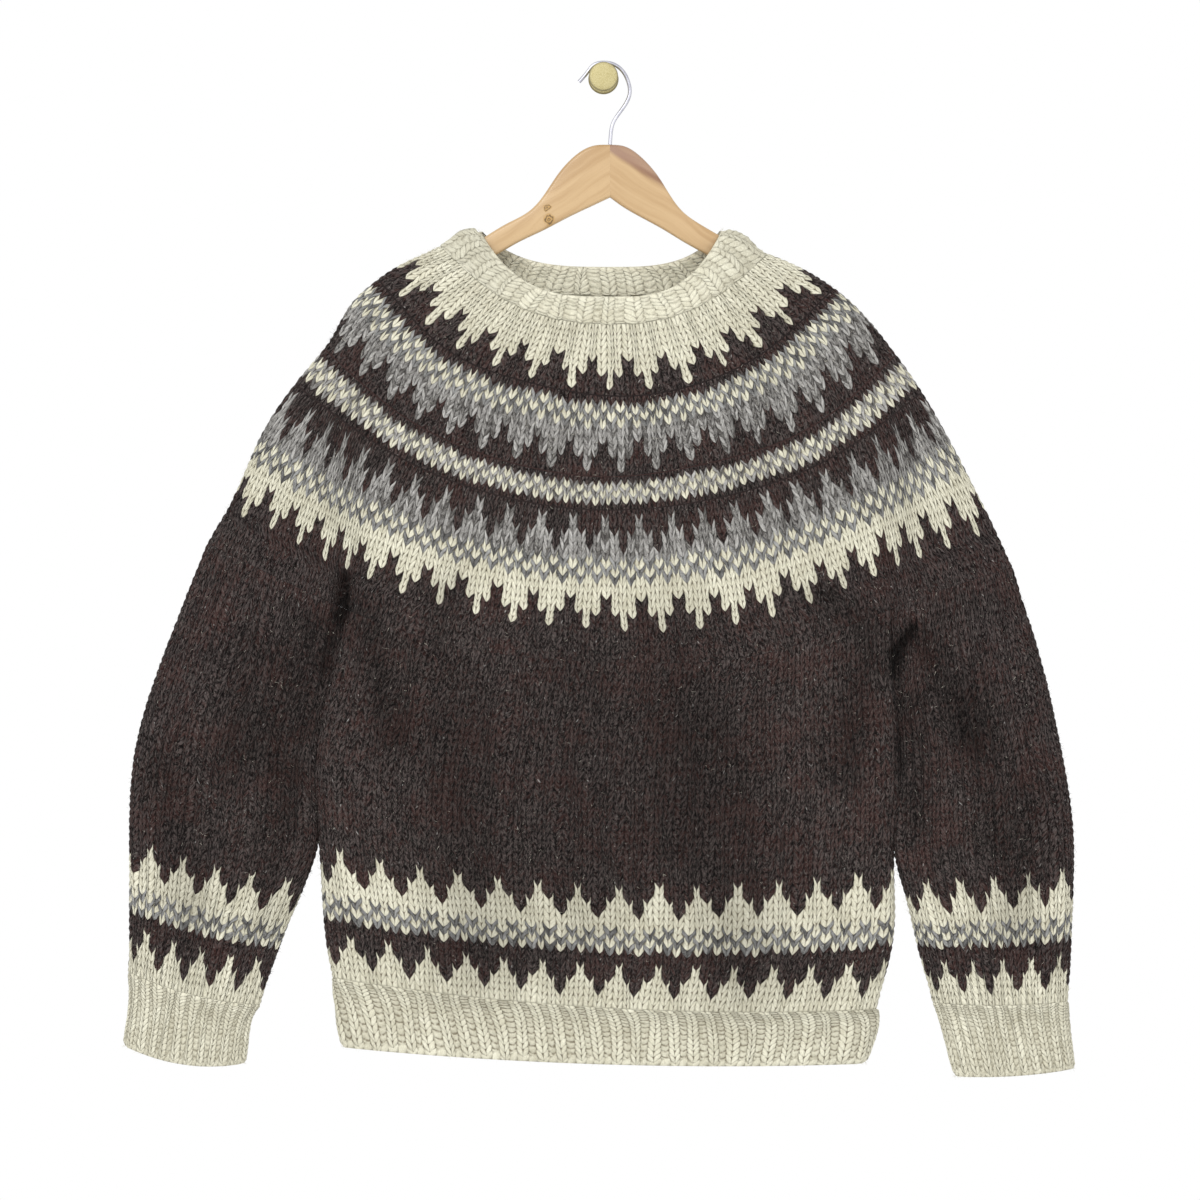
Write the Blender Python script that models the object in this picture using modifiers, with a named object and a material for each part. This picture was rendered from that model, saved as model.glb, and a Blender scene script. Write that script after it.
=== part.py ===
"""Fair isle sweater with a round yoke, on a wooden hanger that hangs from a wall knob.

The origin is the middle of the knob's foot on the wall, +Z up, +X to the viewer's right, and the
sweater's front faces -Y. Sizes in the tables are millimetres: x is measured from the sweater's
centre line and drop is measured down from the knob's axis. The meshes are in metres.

The garment is knitted in the round, so each piece is a wall around a hollow: a ring of the wall runs
across the front from the left fold to the right one, and comes back across the back. An angle goes
round the ring, 0 at the left fold and pi at the right one, and a row says which ring it is.
"""

import math

import bmesh
import bpy
import numpy as np

MM = 0.001
SEAM = 0.4  # between two pieces that are knitted on to each other
CENTRE_X = 6.0  # the sweater's centre line, to the right of the knob's axis
PLANE_Y = -34.0  # the hanger's middle plane, in front of the wall

WALL = 4.0  # bulky knit, with the strands carried behind it
FOLD = 17.0  # how far in from a fold the cloth reaches its full depth
PINCH = 8.0  # half of the depth where sleeve and body meet at the underarm
RIB_RISE = 1.5  # of a rib's crest over its valley

YOKE_ROWS = 46
YOKE_STATIONS = (-1.0, -0.75, -0.4, 0.0, 0.4, 0.75, 1.0)  # where the seven drops are, of half a width
# row, left_x, seven drops from the left fold to the right one, right_x, half_depth
YOKE = (
    (0, -156, 156, 192, 220, 228, 221, 195, 163, 145, 20),
    (9, -206, 182, 238, 272, 287, 276, 238, 190, 200, 19),
    (14, -238, 209, 268, 306, 322, 308, 270, 214, 228, 18.5),
    (20, -259, 244, 302, 345, 362, 346, 309, 250, 257, 18),
    (25, -283, 276, 330, 375, 392, 377, 338, 284, 281, 18),
    (31, -316, 323, 372, 418, 435, 421, 378, 328, 308, 19),
    (41, -351, 394, 440, 488, 507, 496, 448, 415, 353, 19),
    (46, -370, 429, 474, 522, 538, 529, 482, 451, 370, 19),
)
BACK_LIFT = 27.0  # of the back neck over the front, which runs out at the underarm
PINCH_FROM_ROW = 34
ROW_GAIN = 5.0  # of the yoke's half width, from a row to the next
FOLD_INSET = 0.75  # share of an inset that comes off the width at a fold

# left_x, left, front, back, right, right_x, half_depth, power
NECK = {
    "seam": (-156, 156, 228, 201, 163, 145, 20, 2.3),
    "edge": (-129, 140, 203, 174, 141, 119, 22, 2.2),
}
NECK_SETTLE = 0.5  # share of the band over which its rings leave the yoke's first round

# All the tubes: left_x, left, right_x, right, sag, half_depth
TUBE_SETTLE = 0.2  # share of a tube over which its rings leave the yoke's last round
BODY = (
    (-243, 488, 259, 492, 48, 19),
    (-257, 556, 260, 565, 41, 20),
    (-270, 624, 264, 638, 34, 20),
    (-270, 692, 261, 711, 27, 19),
    (-262, 760, 258, 784, 20, 18),
    (-255, 828, 245, 857, 13, 17),
)
HEM_RIB = (
    (-255, 828, 245, 857, 13, 17),
    (-253, 849, 246, 872, 12, 16.5),
    (-247, 892, 235, 907, 8, 17),
)
SLEEVE_LEFT = (
    (-370, 429, -245, 488, 6, 14),
    (-402, 508, -259, 561, 8, 15),
    (-429, 587, -272, 634, 8, 15),
    (-442, 665, -272.5, 707, 7, 15),
    (-441, 744, -297, 780, 6, 14),
    (-443, 823, -322, 853, 6, 13),
)
CUFF_LEFT = (
    (-443, 823, -322, 853, 6, 13),
    (-442, 850, -331, 871, 7, 12.5),
    (-447, 891, -336, 907, 9, 13),
)
SLEEVE_RIGHT = (
    (261, 493, 370, 451, 6, 14),
    (262, 564, 395, 531, 7, 15),
    (265.5, 635, 414, 611, 6, 15),
    (263.3, 707, 427, 690, 5, 15),
    (280, 779, 426, 770, 4, 14),
    (297, 851, 421, 850, 3, 13),
)
CUFF_RIGHT = (
    (297, 851, 421, 850, 3, 13),
    (304, 870, 422, 872, 3, 12.5),
    (317, 919, 427, 912, 3, 13),
)
# from_x, from_drop, to_x, to_drop, width, dent
CREASES = (
    (-222, 500, -200, 610, 20, 4.5),  # gathered cloth below the left underarm
    (-275, 505, -318, 625, 20, 4.0),  # left sleeve, from the underarm outwards
    (236, 505, 196, 480, 18, 4.0),  # pull from the right underarm to the yoke
    (232, 540, 214, 640, 20, 4.0),  # below the right underarm
    (290, 520, 330, 610, 18, 4.5),  # right sleeve, from the underarm outwards
    (-140, 590, -120, 800, 44, 3.5),  # long soft fold, left of the front's middle
    (95, 610, 120, 810, 48, 3.5),  # and one right of it
    (-405, 640, -385, 770, 24, 3.0),  # outer half of the left sleeve
    (385, 660, 370, 780, 22, 3.0),  # outer half of the right sleeve
)

HEM_RIBS, CUFF_RIBS, NECK_RIBS = 58, 21, 26

ARM_THICK = 12.0
ARM_ROUND = 3.0
ARM_GAP = 0.3  # the two halves of the hanger meet here
ARM_TOP_LEFT = ((-ARM_GAP / 2, 62.5), (-16, 63.5), (-35, 75), (-49, 91), (-64, 113), (-75, 124), (-95, 135),
                (-118, 149), (-156, 169.5), (-192, 187.8), (-204, 195), (-211, 202))
ARM_UNDER_LEFT = ((-ARM_GAP / 2, 111), (-17, 119), (-40, 130), (-61, 141), (-84, 152), (-103, 163), (-156, 190),
                  (-193, 206), (-208, 213), (-214, 209))
ARM_TOP_RIGHT = ((ARM_GAP / 2, 62.5), (12, 63.5), (30, 75), (44, 91), (58, 113), (67, 124), (82, 135),
                 (100, 145.5), (145, 171), (175, 186.6), (196, 198.4), (204, 205))
ARM_UNDER_RIGHT = ((ARM_GAP / 2, 111), (11, 119), (30, 130), (50, 141), (68, 152), (86, 162), (145, 194),
                   (175, 209), (199, 219), (206, 212))

WIRE_RADIUS = 1.8
WIRE_FOOT = 62.2  # drop of the wire's lower end, on the hanger
HOOK = ((6.0, -WIRE_FOOT), (6.8, -52), (8.6, -43), (12.5, -36), (19.8, -25.8), (24.2, -14.7), (22.8, -4.6),
        (17.6, 5.4), (9.9, 11.4), (0.5, 13.3), (-8.6, 11.2), (-15.2, 3.8), (-22.5, -4.6))
KNOB_NECK, KNOB_FACE = 11.0, 13.4
KNOB_PROFILE = ((0, 47.5), (6, 47.2), (10.5, 46), (KNOB_FACE, 43.5), (KNOB_FACE, 41), (KNOB_NECK, 38.5),
                (KNOB_NECK, 3), (KNOB_NECK + 3, 0), (0, 0))

RING_STEPS = {"yoke": 72, "body": 56, "sleeve": 30, "neckband": 4 * NECK_RIBS}


def smooth(xs, ys, at):
    """Natural cubic spline through the rows of ys at xs, read at the values in at."""
    xs, ys, at = np.asarray(xs, float), np.asarray(ys, float), np.asarray(at, float)
    n, gap = len(xs), np.diff(xs)
    slope = (np.diff(ys, axis=0).T / gap).T
    system, right = np.eye(n), np.zeros(ys.shape)
    for i in range(1, n - 1):
        system[i, i - 1:i + 2] = gap[i - 1], 2 * (gap[i - 1] + gap[i]), gap[i]
        right[i] = 6 * (slope[i] - slope[i - 1])
    bend = np.linalg.solve(system, right)
    i = np.clip(np.searchsorted(xs, at, side="right") - 1, 0, n - 2)
    back, ahead, step = xs[i + 1] - at, at - xs[i], gap[i]

    def weigh(value, weight):
        return (value.T * weight).T

    return (weigh(bend[i], back**3 / (6 * step)) + weigh(bend[i + 1], ahead**3 / (6 * step))
            + weigh(ys[i], back / step) - weigh(bend[i], back * step / 6)
            + weigh(ys[i + 1], ahead / step) - weigh(bend[i + 1], ahead * step / 6))


def ease(value):
    """0 below 0, 1 above 1 and a soft step between."""
    value = np.clip(value, 0.0, 1.0)
    return value * value * (3 - 2 * value)


def fold_shape(share, half_width):
    """How full the depth is at a share of the half width: 1 in the middle and 0 at the fold."""
    return np.sqrt(np.clip(1 - np.abs(share) ** max(2.0, half_width / FOLD), 0, 1))


def dents(x, drop):
    """How deep the creases press the cloth in at these places."""
    total = np.zeros(np.shape(x))
    for from_x, from_drop, to_x, to_drop, width, dent in CREASES:
        along = np.array([to_x - from_x, to_drop - from_drop], float)
        length = np.linalg.norm(along)
        along /= length
        run = (x - from_x) * along[0] + (drop - from_drop) * along[1]
        off = (x - from_x) * along[1] - (drop - from_drop) * along[0]
        past = np.maximum(np.maximum(-run, run - length), 0)
        total += dent * np.exp(-(off**2 + past**2) / width**2)
    return total


class Yoke:
    """The round yoke, from the neck's pick-up round to the round that body and sleeves join."""

    def curve(self, share, row, back):
        """x and drop of a round at a share of its half width, on the front or the back."""
        table = smooth([line[0] for line in YOKE], [line[1:] for line in YOKE], row)
        left_x, drops, right_x = table[0], table[1:8], table[8]
        x = np.where(share < 0, -share * left_x, share * right_x)
        drop = smooth(YOKE_STATIONS, drops, share)
        lift = BACK_LIFT * (1 - ease(row / YOKE_ROWS)) * (1 - share**2)
        return x, drop - np.where(back, lift, 0)

    def depth(self, share, row, inset):
        table = smooth([line[0] for line in YOKE], [line[1:] for line in YOKE], row)
        left_x, right_x, half = table[0], table[8], table[9]
        width = (right_x - left_x) / 2
        plain = (half - inset) * fold_shape(share, width)
        if row <= PINCH_FROM_ROW:
            return plain
        x, _ = self.curve(share, row, False)
        pinch = ease((row - PINCH_FROM_ROW) / (YOKE_ROWS - PINCH_FROM_ROW))
        sides = ((left_x, SLEEVE_LEFT[0][2], SLEEVE_LEFT[0][5]), (BODY[0][0], BODY[0][2], BODY[0][5]),
                 (SLEEVE_RIGHT[0][0], right_x, SLEEVE_RIGHT[0][5]))
        joined = np.zeros(np.shape(x))
        for low, high, half in sides:
            place = (x - (low + high) / 2) / ((high - low) / 2)
            joined = np.maximum(joined, (half - inset) * fold_shape(np.clip(place, -1, 1), (high - low) / 2))
        inside = (x > (left_x + SLEEVE_LEFT[0][2]) / 2) & (x < (right_x + SLEEVE_RIGHT[0][0]) / 2)
        joined = np.where(inside, np.maximum(joined, PINCH - inset), np.minimum(joined, plain))
        return (1 - pinch) * plain + pinch * joined

    def point(self, angle, row, inset):
        """Places of a ring of the wall, inset from its outer side."""
        width = (YOKE[0][9] - YOKE[0][1]) / 2 + row * ROW_GAIN
        share = -np.cos(angle) * (1 - FOLD_INSET * inset / width)
        back = np.sin(angle) < -1e-9
        x, drop = self.curve(share, row, back)
        y = self.depth(-np.cos(angle), row, inset) - dents(x, drop)
        return np.stack([x, np.where(back, y, -y) * (np.abs(np.sin(angle)) > 1e-9), drop], axis=-1)


YOKE_PIECE = Yoke()


class Tube:
    """A flattened tube between two folds: body, hem rib, sleeve or cuff."""

    def __init__(self, table, top_on_yoke=False, start=0.0):
        self.table, self.top_on_yoke, self.start = table, top_on_yoke, start

    def read(self, row):
        """The table's numbers at a row, 0 at the top and 1 at the bottom."""
        return smooth(np.linspace(0, 1, len(self.table)), self.table, row)

    def curve(self, share, row):
        """x and drop of a ring at a share of its half width, before its top is set on the yoke."""
        left_x, left, right_x, right, sag, _ = self.read(row)
        across = (share + 1) / 2
        return left_x + (right_x - left_x) * across, left + (right - left) * across + sag * (1 - share**2)

    def point(self, angle, row, inset):
        """Places of a ring of the wall, row 0 at its top and 1 at its bottom."""
        left_x, left, right_x, right, _, half = self.read(row)
        half_width = math.hypot(right_x - left_x, right - left) / 2
        share = -np.cos(angle) * (1 - inset / half_width)
        x, drop = self.curve(share, row)
        if self.top_on_yoke:
            top_x, top = self.curve(share, 0)
            drop = drop + (yoke_edge(top_x) + SEAM - top) * (1 - ease(row / TUBE_SETTLE))
        y = (half - inset) * fold_shape(np.cos(angle), half_width)
        y = y - dents(x, drop) * (y / half)
        drop = drop + self.start
        return np.stack([x, np.where(np.sin(angle) < 0, y, -y), drop], axis=-1)


def yoke_edge(x):
    """Drop of the yoke's last round at x."""
    share = np.where(x < 0, -x / YOKE[-1][1], x / YOKE[-1][9])
    return YOKE_PIECE.curve(np.clip(share, -1, 1), YOKE_ROWS, False)[1]


class Neckband:
    """The ribbed band, from the yoke's first round up to the neck edge."""

    def point(self, angle, row, inset):
        """Places of a ring of the wall, row 0 at the seam and 1 at the neck edge."""
        seam, edge = np.array(NECK["seam"], float), np.array(NECK["edge"], float)
        left_x, left, front, rear, right, right_x, half, power = seam + (edge - seam) * row
        width = (right_x - left_x) / 2
        share = -np.cos(angle) * (1 - FOLD_INSET * inset / width)
        back = np.sin(angle) < -1e-9
        x = np.where(share < 0, -share * left_x, share * right_x)
        middle = np.where(back, rear, front)
        drop = middle + (np.where(share < 0, left, right) - middle) * np.abs(share) ** power
        _, on_yoke = YOKE_PIECE.curve(share, 0, back)
        drop = drop + (on_yoke - SEAM - drop) * (1 - ease(row / NECK_SETTLE))
        y = (half - inset) * fold_shape(np.cos(angle), width)
        return np.stack([x, np.where(back, y, -y), drop], axis=-1)


def to_world(places):
    """Metres in the model's frame, from millimetres of x, depth and drop."""
    x, y, drop = places[..., 0], places[..., 1], places[..., 2]
    return np.stack([x + CENTRE_X, y + PLANE_Y, -drop], axis=-1) * MM


def even_angles(piece, row, count):
    """Angles that part a ring into even lengths of cloth, starting at the left fold."""
    fine = np.linspace(0, 2 * math.pi, 2001)
    places = piece.point(fine, row, 0.0)
    along = np.concatenate([[0], np.cumsum(np.linalg.norm(np.diff(places, axis=0), axis=1))])
    return np.interp(np.arange(count) / count * along[-1], along, fine)


def make_material(name, colour, roughness, metallic=0.0):
    material = bpy.data.materials.new(name)
    material.use_nodes = True
    shader = material.node_tree.nodes["Principled BSDF"]
    shader.inputs["Base Color"].default_value = (*colour, 1.0)
    shader.inputs["Roughness"].default_value = roughness
    shader.inputs["Metallic"].default_value = metallic
    return material


def add_object(name, data, material, collection):
    thing = bpy.data.objects.new(name, data)
    data.materials.append(material)
    collection.objects.link(thing)
    return thing


def loft_wall(name, piece, rows, steps, material, collection, ribs=0):
    """A closed wall through the piece's rings: outer side, lower rim, plain inner side and upper rim."""
    rings = []
    for row in rows:
        if ribs:
            angles = even_angles(piece, row, steps)
            rise = np.where(np.arange(steps) * ribs * 2 // steps % 2 == 0, 0.0, -RIB_RISE)
        else:
            angles, rise = np.arange(steps) * 2 * math.pi / steps, np.zeros(steps)
        rings.append((angles, rise))
    outer = [piece.point(angles, row, rise) for row, (angles, rise) in zip(rows, rings)]
    inner = [piece.point(angles, row, np.full(steps, WALL)) for row, (angles, _) in zip(rows, rings)]
    mesh = bmesh.new()
    loops = [[mesh.verts.new(place) for place in to_world(ring)] for ring in outer + inner[::-1]]
    for one, two in zip(loops, loops[1:] + loops[:1]):
        for k in range(steps):
            mesh.faces.new((one[k], two[k], two[(k + 1) % steps], one[(k + 1) % steps]))
    bmesh.ops.recalc_face_normals(mesh, faces=mesh.faces)
    data = bpy.data.meshes.new(name)
    mesh.to_mesh(data)
    mesh.free()
    data.shade_smooth()
    data.set_sharp_from_angle(angle=math.radians(45))
    return add_object(name, data, material, collection)


def smoothed(places, steps):
    """A smooth line through places, with this many points between each two."""
    places = np.array(places, float)
    along = np.concatenate([[0], np.cumsum(np.linalg.norm(np.diff(places, axis=0), axis=1))])
    at = np.concatenate([np.linspace(a, b, steps, endpoint=False) for a, b in zip(along, along[1:])])
    return smooth(along, places, np.append(at, along[-1]))


def add_arm(name, top, under, material, collection):
    """Half of the wooden hanger: a flat outline, as thick as the board, with rounded edges."""
    outline = np.concatenate([smoothed(top, 2), smoothed(under, 2)[::-1]])
    curve = bpy.data.curves.new(name, "CURVE")
    curve.dimensions, curve.fill_mode = "2D", "BOTH"
    curve.extrude = ARM_THICK / 2 * MM
    line = curve.splines.new("POLY")
    line.points.add(len(outline) - 1)
    for point, (x, drop) in zip(line.points, outline):
        point.co = ((x + CENTRE_X) * MM, -drop * MM, 0, 1)
    line.use_cyclic_u = True
    arm = add_object(name, curve, material, collection)
    arm.location, arm.rotation_euler = (0, PLANE_Y * MM, 0), (math.pi / 2, 0, 0)
    weld = arm.modifiers.new("Weld", "WELD")
    weld.merge_threshold = 0.00005
    bevel = arm.modifiers.new("Rounding", "BEVEL")
    bevel.width, bevel.segments = ARM_ROUND * MM, 2
    bevel.limit_method, bevel.angle_limit = "ANGLE", math.radians(60)
    return arm


def add_hook(material, collection):
    """The bent steel wire, from the hanger's middle up and over the knob."""
    curve = bpy.data.curves.new("hook_wire", "CURVE")
    curve.dimensions, curve.bevel_depth = "3D", WIRE_RADIUS * MM
    curve.bevel_resolution, curve.use_fill_caps = 2, True
    places = smoothed(HOOK, 3)
    line = curve.splines.new("POLY")
    line.points.add(len(places) - 1)
    for point, (x, z) in zip(line.points, places):
        point.co = (x * MM, PLANE_Y * MM, z * MM, 1)
    return add_object("hook_wire", curve, material, collection)


def add_knob(material, collection):
    """The wall knob: a turned neck with a wider face, its foot on the wall."""
    mesh = bmesh.new()
    places = [mesh.verts.new((radius * MM, 0, out * MM)) for radius, out in KNOB_PROFILE]
    for one, two in zip(places, places[1:]):
        mesh.edges.new((one, two))
    data = bpy.data.meshes.new("wall_knob")
    mesh.to_mesh(data)
    mesh.free()
    knob = add_object("wall_knob", data, material, collection)
    knob.rotation_euler = (math.pi / 2, 0, 0)
    screw = knob.modifiers.new("Turning", "SCREW")
    screw.axis, screw.angle = "Z", 2 * math.pi
    screw.steps = screw.render_steps = 32
    screw.use_merge_vertices, screw.merge_threshold = True, 0.00005
    return knob


def main():
    for thing in list(bpy.data.objects):
        bpy.data.objects.remove(thing)
    sweater = bpy.data.collections.new("fair_isle_sweater")
    bpy.context.scene.collection.children.link(sweater)

    dark = make_material("dark_wool", (0.048, 0.036, 0.034), 0.95)
    cream = make_material("cream_wool", (0.72, 0.67, 0.51), 0.95)
    grey = make_material("grey_wool", (0.34, 0.32, 0.30), 0.95)
    wood = make_material("pale_wood", (0.74, 0.47, 0.22), 0.45)
    steel = make_material("steel_wire", (0.70, 0.70, 0.68), 0.3, 1.0)
    brass = make_material("aged_brass", (0.55, 0.46, 0.20), 0.45, 1.0)

    loft_wall("neckband", Neckband(), (0.0, 0.5, 1.0), RING_STEPS["neckband"], cream, sweater, NECK_RIBS)
    loft_wall("yoke", YOKE_PIECE, (0, 4, 9, 14, 20, 25, 31, 36, 41, 46), RING_STEPS["yoke"], grey, sweater)
    body_rows = np.linspace(0, 1, 12)
    loft_wall("body", Tube(BODY, top_on_yoke=True), body_rows, RING_STEPS["body"], dark, sweater)
    loft_wall("hem_rib", Tube(HEM_RIB, start=SEAM), (0.0, 0.5, 1.0), 2 * HEM_RIBS, cream, sweater, HEM_RIBS)
    sleeve_rows = np.linspace(0, 1, 12)
    for side, sleeve, cuff in (("left", SLEEVE_LEFT, CUFF_LEFT), ("right", SLEEVE_RIGHT, CUFF_RIGHT)):
        tube = Tube(sleeve, top_on_yoke=True)
        loft_wall("sleeve_" + side, tube, sleeve_rows, RING_STEPS["sleeve"], dark, sweater)
        band = Tube(cuff, start=SEAM)
        loft_wall("cuff_" + side, band, (0.0, 0.5, 1.0), 2 * CUFF_RIBS, cream, sweater, CUFF_RIBS)

    add_arm("hanger_left", ARM_TOP_LEFT, ARM_UNDER_LEFT, wood, sweater)
    add_arm("hanger_right", ARM_TOP_RIGHT, ARM_UNDER_RIGHT, wood, sweater)
    add_hook(steel, sweater)
    add_knob(brass, sweater)


main()
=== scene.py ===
"""Fair isle sweater with a round yoke, on a wooden hanger that hangs from a wall knob.

The origin is the middle of the knob's foot on the wall, +Z up, +X to the viewer's right, and the
sweater's front faces -Y. Tables are in millimetres: x from the sweater's centre line, drop down from
the knob's axis. Meshes are in metres.

Every knitted piece is worked in the round. A stitch has a number round its ring and a row down the
piece. Its mesh has four columns and three lines of faces, shaped as the two legs of a V.
"""

from __future__ import annotations

import logging
import math
from dataclasses import dataclass
from enum import Enum
from typing import Callable, Sequence

import bmesh
import bpy
import numpy as np
from mathutils import Matrix, Vector

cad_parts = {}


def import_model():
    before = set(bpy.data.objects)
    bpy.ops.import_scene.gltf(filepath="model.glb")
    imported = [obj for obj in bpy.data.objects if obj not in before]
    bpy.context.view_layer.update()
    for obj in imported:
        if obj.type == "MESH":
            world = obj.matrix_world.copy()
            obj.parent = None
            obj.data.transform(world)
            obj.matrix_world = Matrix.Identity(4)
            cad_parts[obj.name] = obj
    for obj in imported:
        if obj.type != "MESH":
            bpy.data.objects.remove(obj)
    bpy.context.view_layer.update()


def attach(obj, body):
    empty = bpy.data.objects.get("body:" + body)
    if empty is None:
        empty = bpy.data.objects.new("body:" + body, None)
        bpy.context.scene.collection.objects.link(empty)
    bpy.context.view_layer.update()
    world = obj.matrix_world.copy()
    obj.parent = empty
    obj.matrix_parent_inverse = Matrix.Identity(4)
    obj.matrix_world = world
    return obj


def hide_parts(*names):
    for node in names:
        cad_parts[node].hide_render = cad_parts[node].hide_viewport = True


log = logging.getLogger("sweater")

MM = 0.001
MERGE = 1e-5  # metres within which vertices become one
NOUGHT = 1e-9  # sizes below it count as none
NEAR = 1e-6  # rows or stitches that a count may be off
SEAM = 0.1  # left between neighbouring pieces
CENTRE_X = 6.0  # of the sweater, right of the knob
PLANE_Y = -34.0  # of the hanger, in front of the wall
WALL = 4.0  # thickness of the cloth
FOLD = 17.0  # half width for each power of a fold's curve
PINCH = 8.0  # half depth where body and sleeve part
PHOTO_SIDE = 1200  # pixels
PHOTO_MM = 0.92  # of the sweater on one pixel of the photo

YOKE_STATIONS = (-1.0, -0.75, -0.4, 0.0, 0.4, 0.75, 1.0)  # shares of the half width
# row, left_x, drops at the stations, right_x, half_depth
YOKE = (
    (0, -156, 156, 192, 220, 228, 221, 195, 163, 145, 20),
    (9, -206, 182, 238, 272, 287, 276, 238, 190, 200, 19),
    (14, -238, 209, 268, 306, 322, 308, 270, 214, 228, 18.5),
    (20, -259, 244, 302, 345, 362, 346, 309, 250, 257, 18),
    (25, -283, 276, 330, 375, 392, 377, 338, 284, 281, 18),
    (31, -316, 323, 372, 418, 435, 421, 378, 328, 308, 19),
    (41, -351, 394, 440, 488, 507, 496, 448, 415, 353, 19),
    (46, -370, 429, 474, 522, 538, 529, 482, 451, 370, 19),
)
YOKE_ROWS = 46
BACK_LIFT = 27.0  # of the back neck over the front, which runs out at the underarm
PINCH_FROM_ROW = 34
ROW_GAIN = 5.0  # of the yoke's half width, from a row to the next
FOLD_INSET = 0.75  # share of an inset that comes off the width at a fold

# left_x, left, front, back, right, right_x, half_depth, power
NECK_SEAM = (-156, 156, 228, 201, 163, 145, 20, 2.3)
NECK_EDGE = (-121, 141, 203, 174, 140, 104, 22, 3.3)
NECK_BULGE = 6.0  # of the band's ends, halfway up
NECK_BULGE_POWER = 8
NECK_SHADE = 0.24  # how much painted shade the band's ends have, as a share of the darkest painted crease shade
NECK_SHADE_X = (70, 130)
NECK_SETTLE = 0.5  # share of the band over which its rings leave the yoke's first round

TUBE_SETTLE = 0.2  # share of a tube over which its rings leave the yoke's last round
# left_x, left, right_x, right, sag, half_depth
BODY = (
    (-243.6, 488, 259.9, 492, 48, 19),
    (-257.8, 556, 261.4, 565, 41, 20),
    (-270.9, 624, 265.9, 638, 34, 20),
    (-271.1, 692, 263.2, 711, 27, 19),
    (-263.8, 760, 260.0, 784, 20, 18),
    (-255, 828, 245, 857, 13, 17),
)
HEM_RIB = (
    BODY[-1],
    (-253, 849, 246, 872, 12, 16.5),
    (-247, 892, 235, 907, 8, 17),
)
SLEEVE_LEFT = (
    (-370, 429, -241.5, 488, 6, 14),
    (-402, 508, -254.8, 561, 8, 15),
    (-429, 587, -268.0, 634, 8, 15),
    (-442, 665, -268.4, 707, 7, 15),
    (-441, 744, -295.5, 780, 6, 14),
    (-443, 823, -322, 853, 6, 13),
)
CUFF_LEFT = (
    SLEEVE_LEFT[-1],
    (-442, 850, -331, 871, 7, 12.5),
    (-447, 891, -336, 907, 9, 13),
)
SLEEVE_RIGHT = (
    (257.4, 493, 370, 451, 6, 14),
    (258.0, 564, 395, 531, 7, 15),
    (262.2, 635, 414, 611, 6, 15),
    (260.0, 707, 427, 690, 5, 15),
    (277.8, 779, 426, 770, 4, 14),
    (297, 851, 421, 850, 3, 13),
)
CUFF_RIGHT = (
    SLEEVE_RIGHT[-1],
    (304, 870, 422, 872, 3, 12.5),
    (317, 919, 427, 912, 3, 13),
)

# from_x, from_drop, to_x, to_drop, width, dent
CREASES = (
    (-222, 500, -200, 610, 20, 4.5),
    (-275, 505, -318, 625, 20, 4.0),
    (236, 505, 196, 480, 18, 4.0),
    (232, 540, 214, 640, 20, 4.0),
    (290, 520, 330, 610, 18, 4.5),
    (-140, 590, -120, 800, 44, 3.5),
    (95, 610, 120, 810, 48, 3.5),
    (-405, 640, -385, 770, 24, 3.0),
    (385, 660, 370, 780, 22, 3.0),
    (-243, 462, -246, 492, 7, 9.0),
    (-250, 500, -262, 540, 10, 5.5),
    (-270, 556, -282, 600, 14, 3.2),
    (-286, 630, -292, 690, 15, 2.6),
    (278, 508, 264, 528, 6, 9.0),
    (263, 530, 262, 548, 7, 9.0),
    (265, 560, 265, 640, 5, 5.0),
    (280, 575, 282, 690, 13, 4.0),
    (-150, 470, -170, 540, 16, 2.5),
    (60, 520, 48, 700, 40, 2.5),
    (-30, 560, -24, 780, 46, 2.5),
    (-330, 520, -352, 640, 20, 3.0),
    (-300, 640, -318, 780, 16, 2.5),
    (335, 560, 352, 700, 18, 3.0),
)
DARKEST_SHADE_DENT = 9.0  # a crease this deep gets the darkest painted shade

# x and z of the wire's middle line, both from the knob's axis
HOOK = ((6.0, -62.2), (6.8, -52), (8.6, -43), (12.5, -36), (19.8, -25.8), (24.2, -14.7), (22.8, -4.6),
        (17.6, 5.4), (9.9, 11.4), (0.5, 13.3), (-8.6, 11.2), (-15.2, 3.8), (-22.5, -4.6))
ARM_GAP = 0.02  # between the two halves of the hanger
ARM_TOP_LEFT = ((-ARM_GAP / 2, 62.5), (-16, 63.5), (-35, 75), (-49, 91), (-64, 113), (-75, 124), (-95, 135),
                (-118, 149), (-156, 169.5), (-192, 187.8), (-204, 195), (-211, 202))
ARM_UNDER_LEFT = ((-ARM_GAP / 2, 111), (-17, 119), (-40, 130), (-61, 141), (-84, 152), (-103, 163),
                  (-156, 190), (-193, 206), (-208, 213), (-214, 209))
ARM_TOP_RIGHT = ((ARM_GAP / 2, 62.5), (12, 63.5), (30, 75), (44, 91), (58, 113), (67, 124), (82, 135),
                 (100, 145.5), (145, 171), (175, 186.6), (196, 198.4), (204, 205))
ARM_UNDER_RIGHT = ((ARM_GAP / 2, 111), (11, 119), (30, 130), (50, 141), (68, 152), (86, 162), (145, 194),
                   (175, 209), (199, 219), (206, 212))

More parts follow.
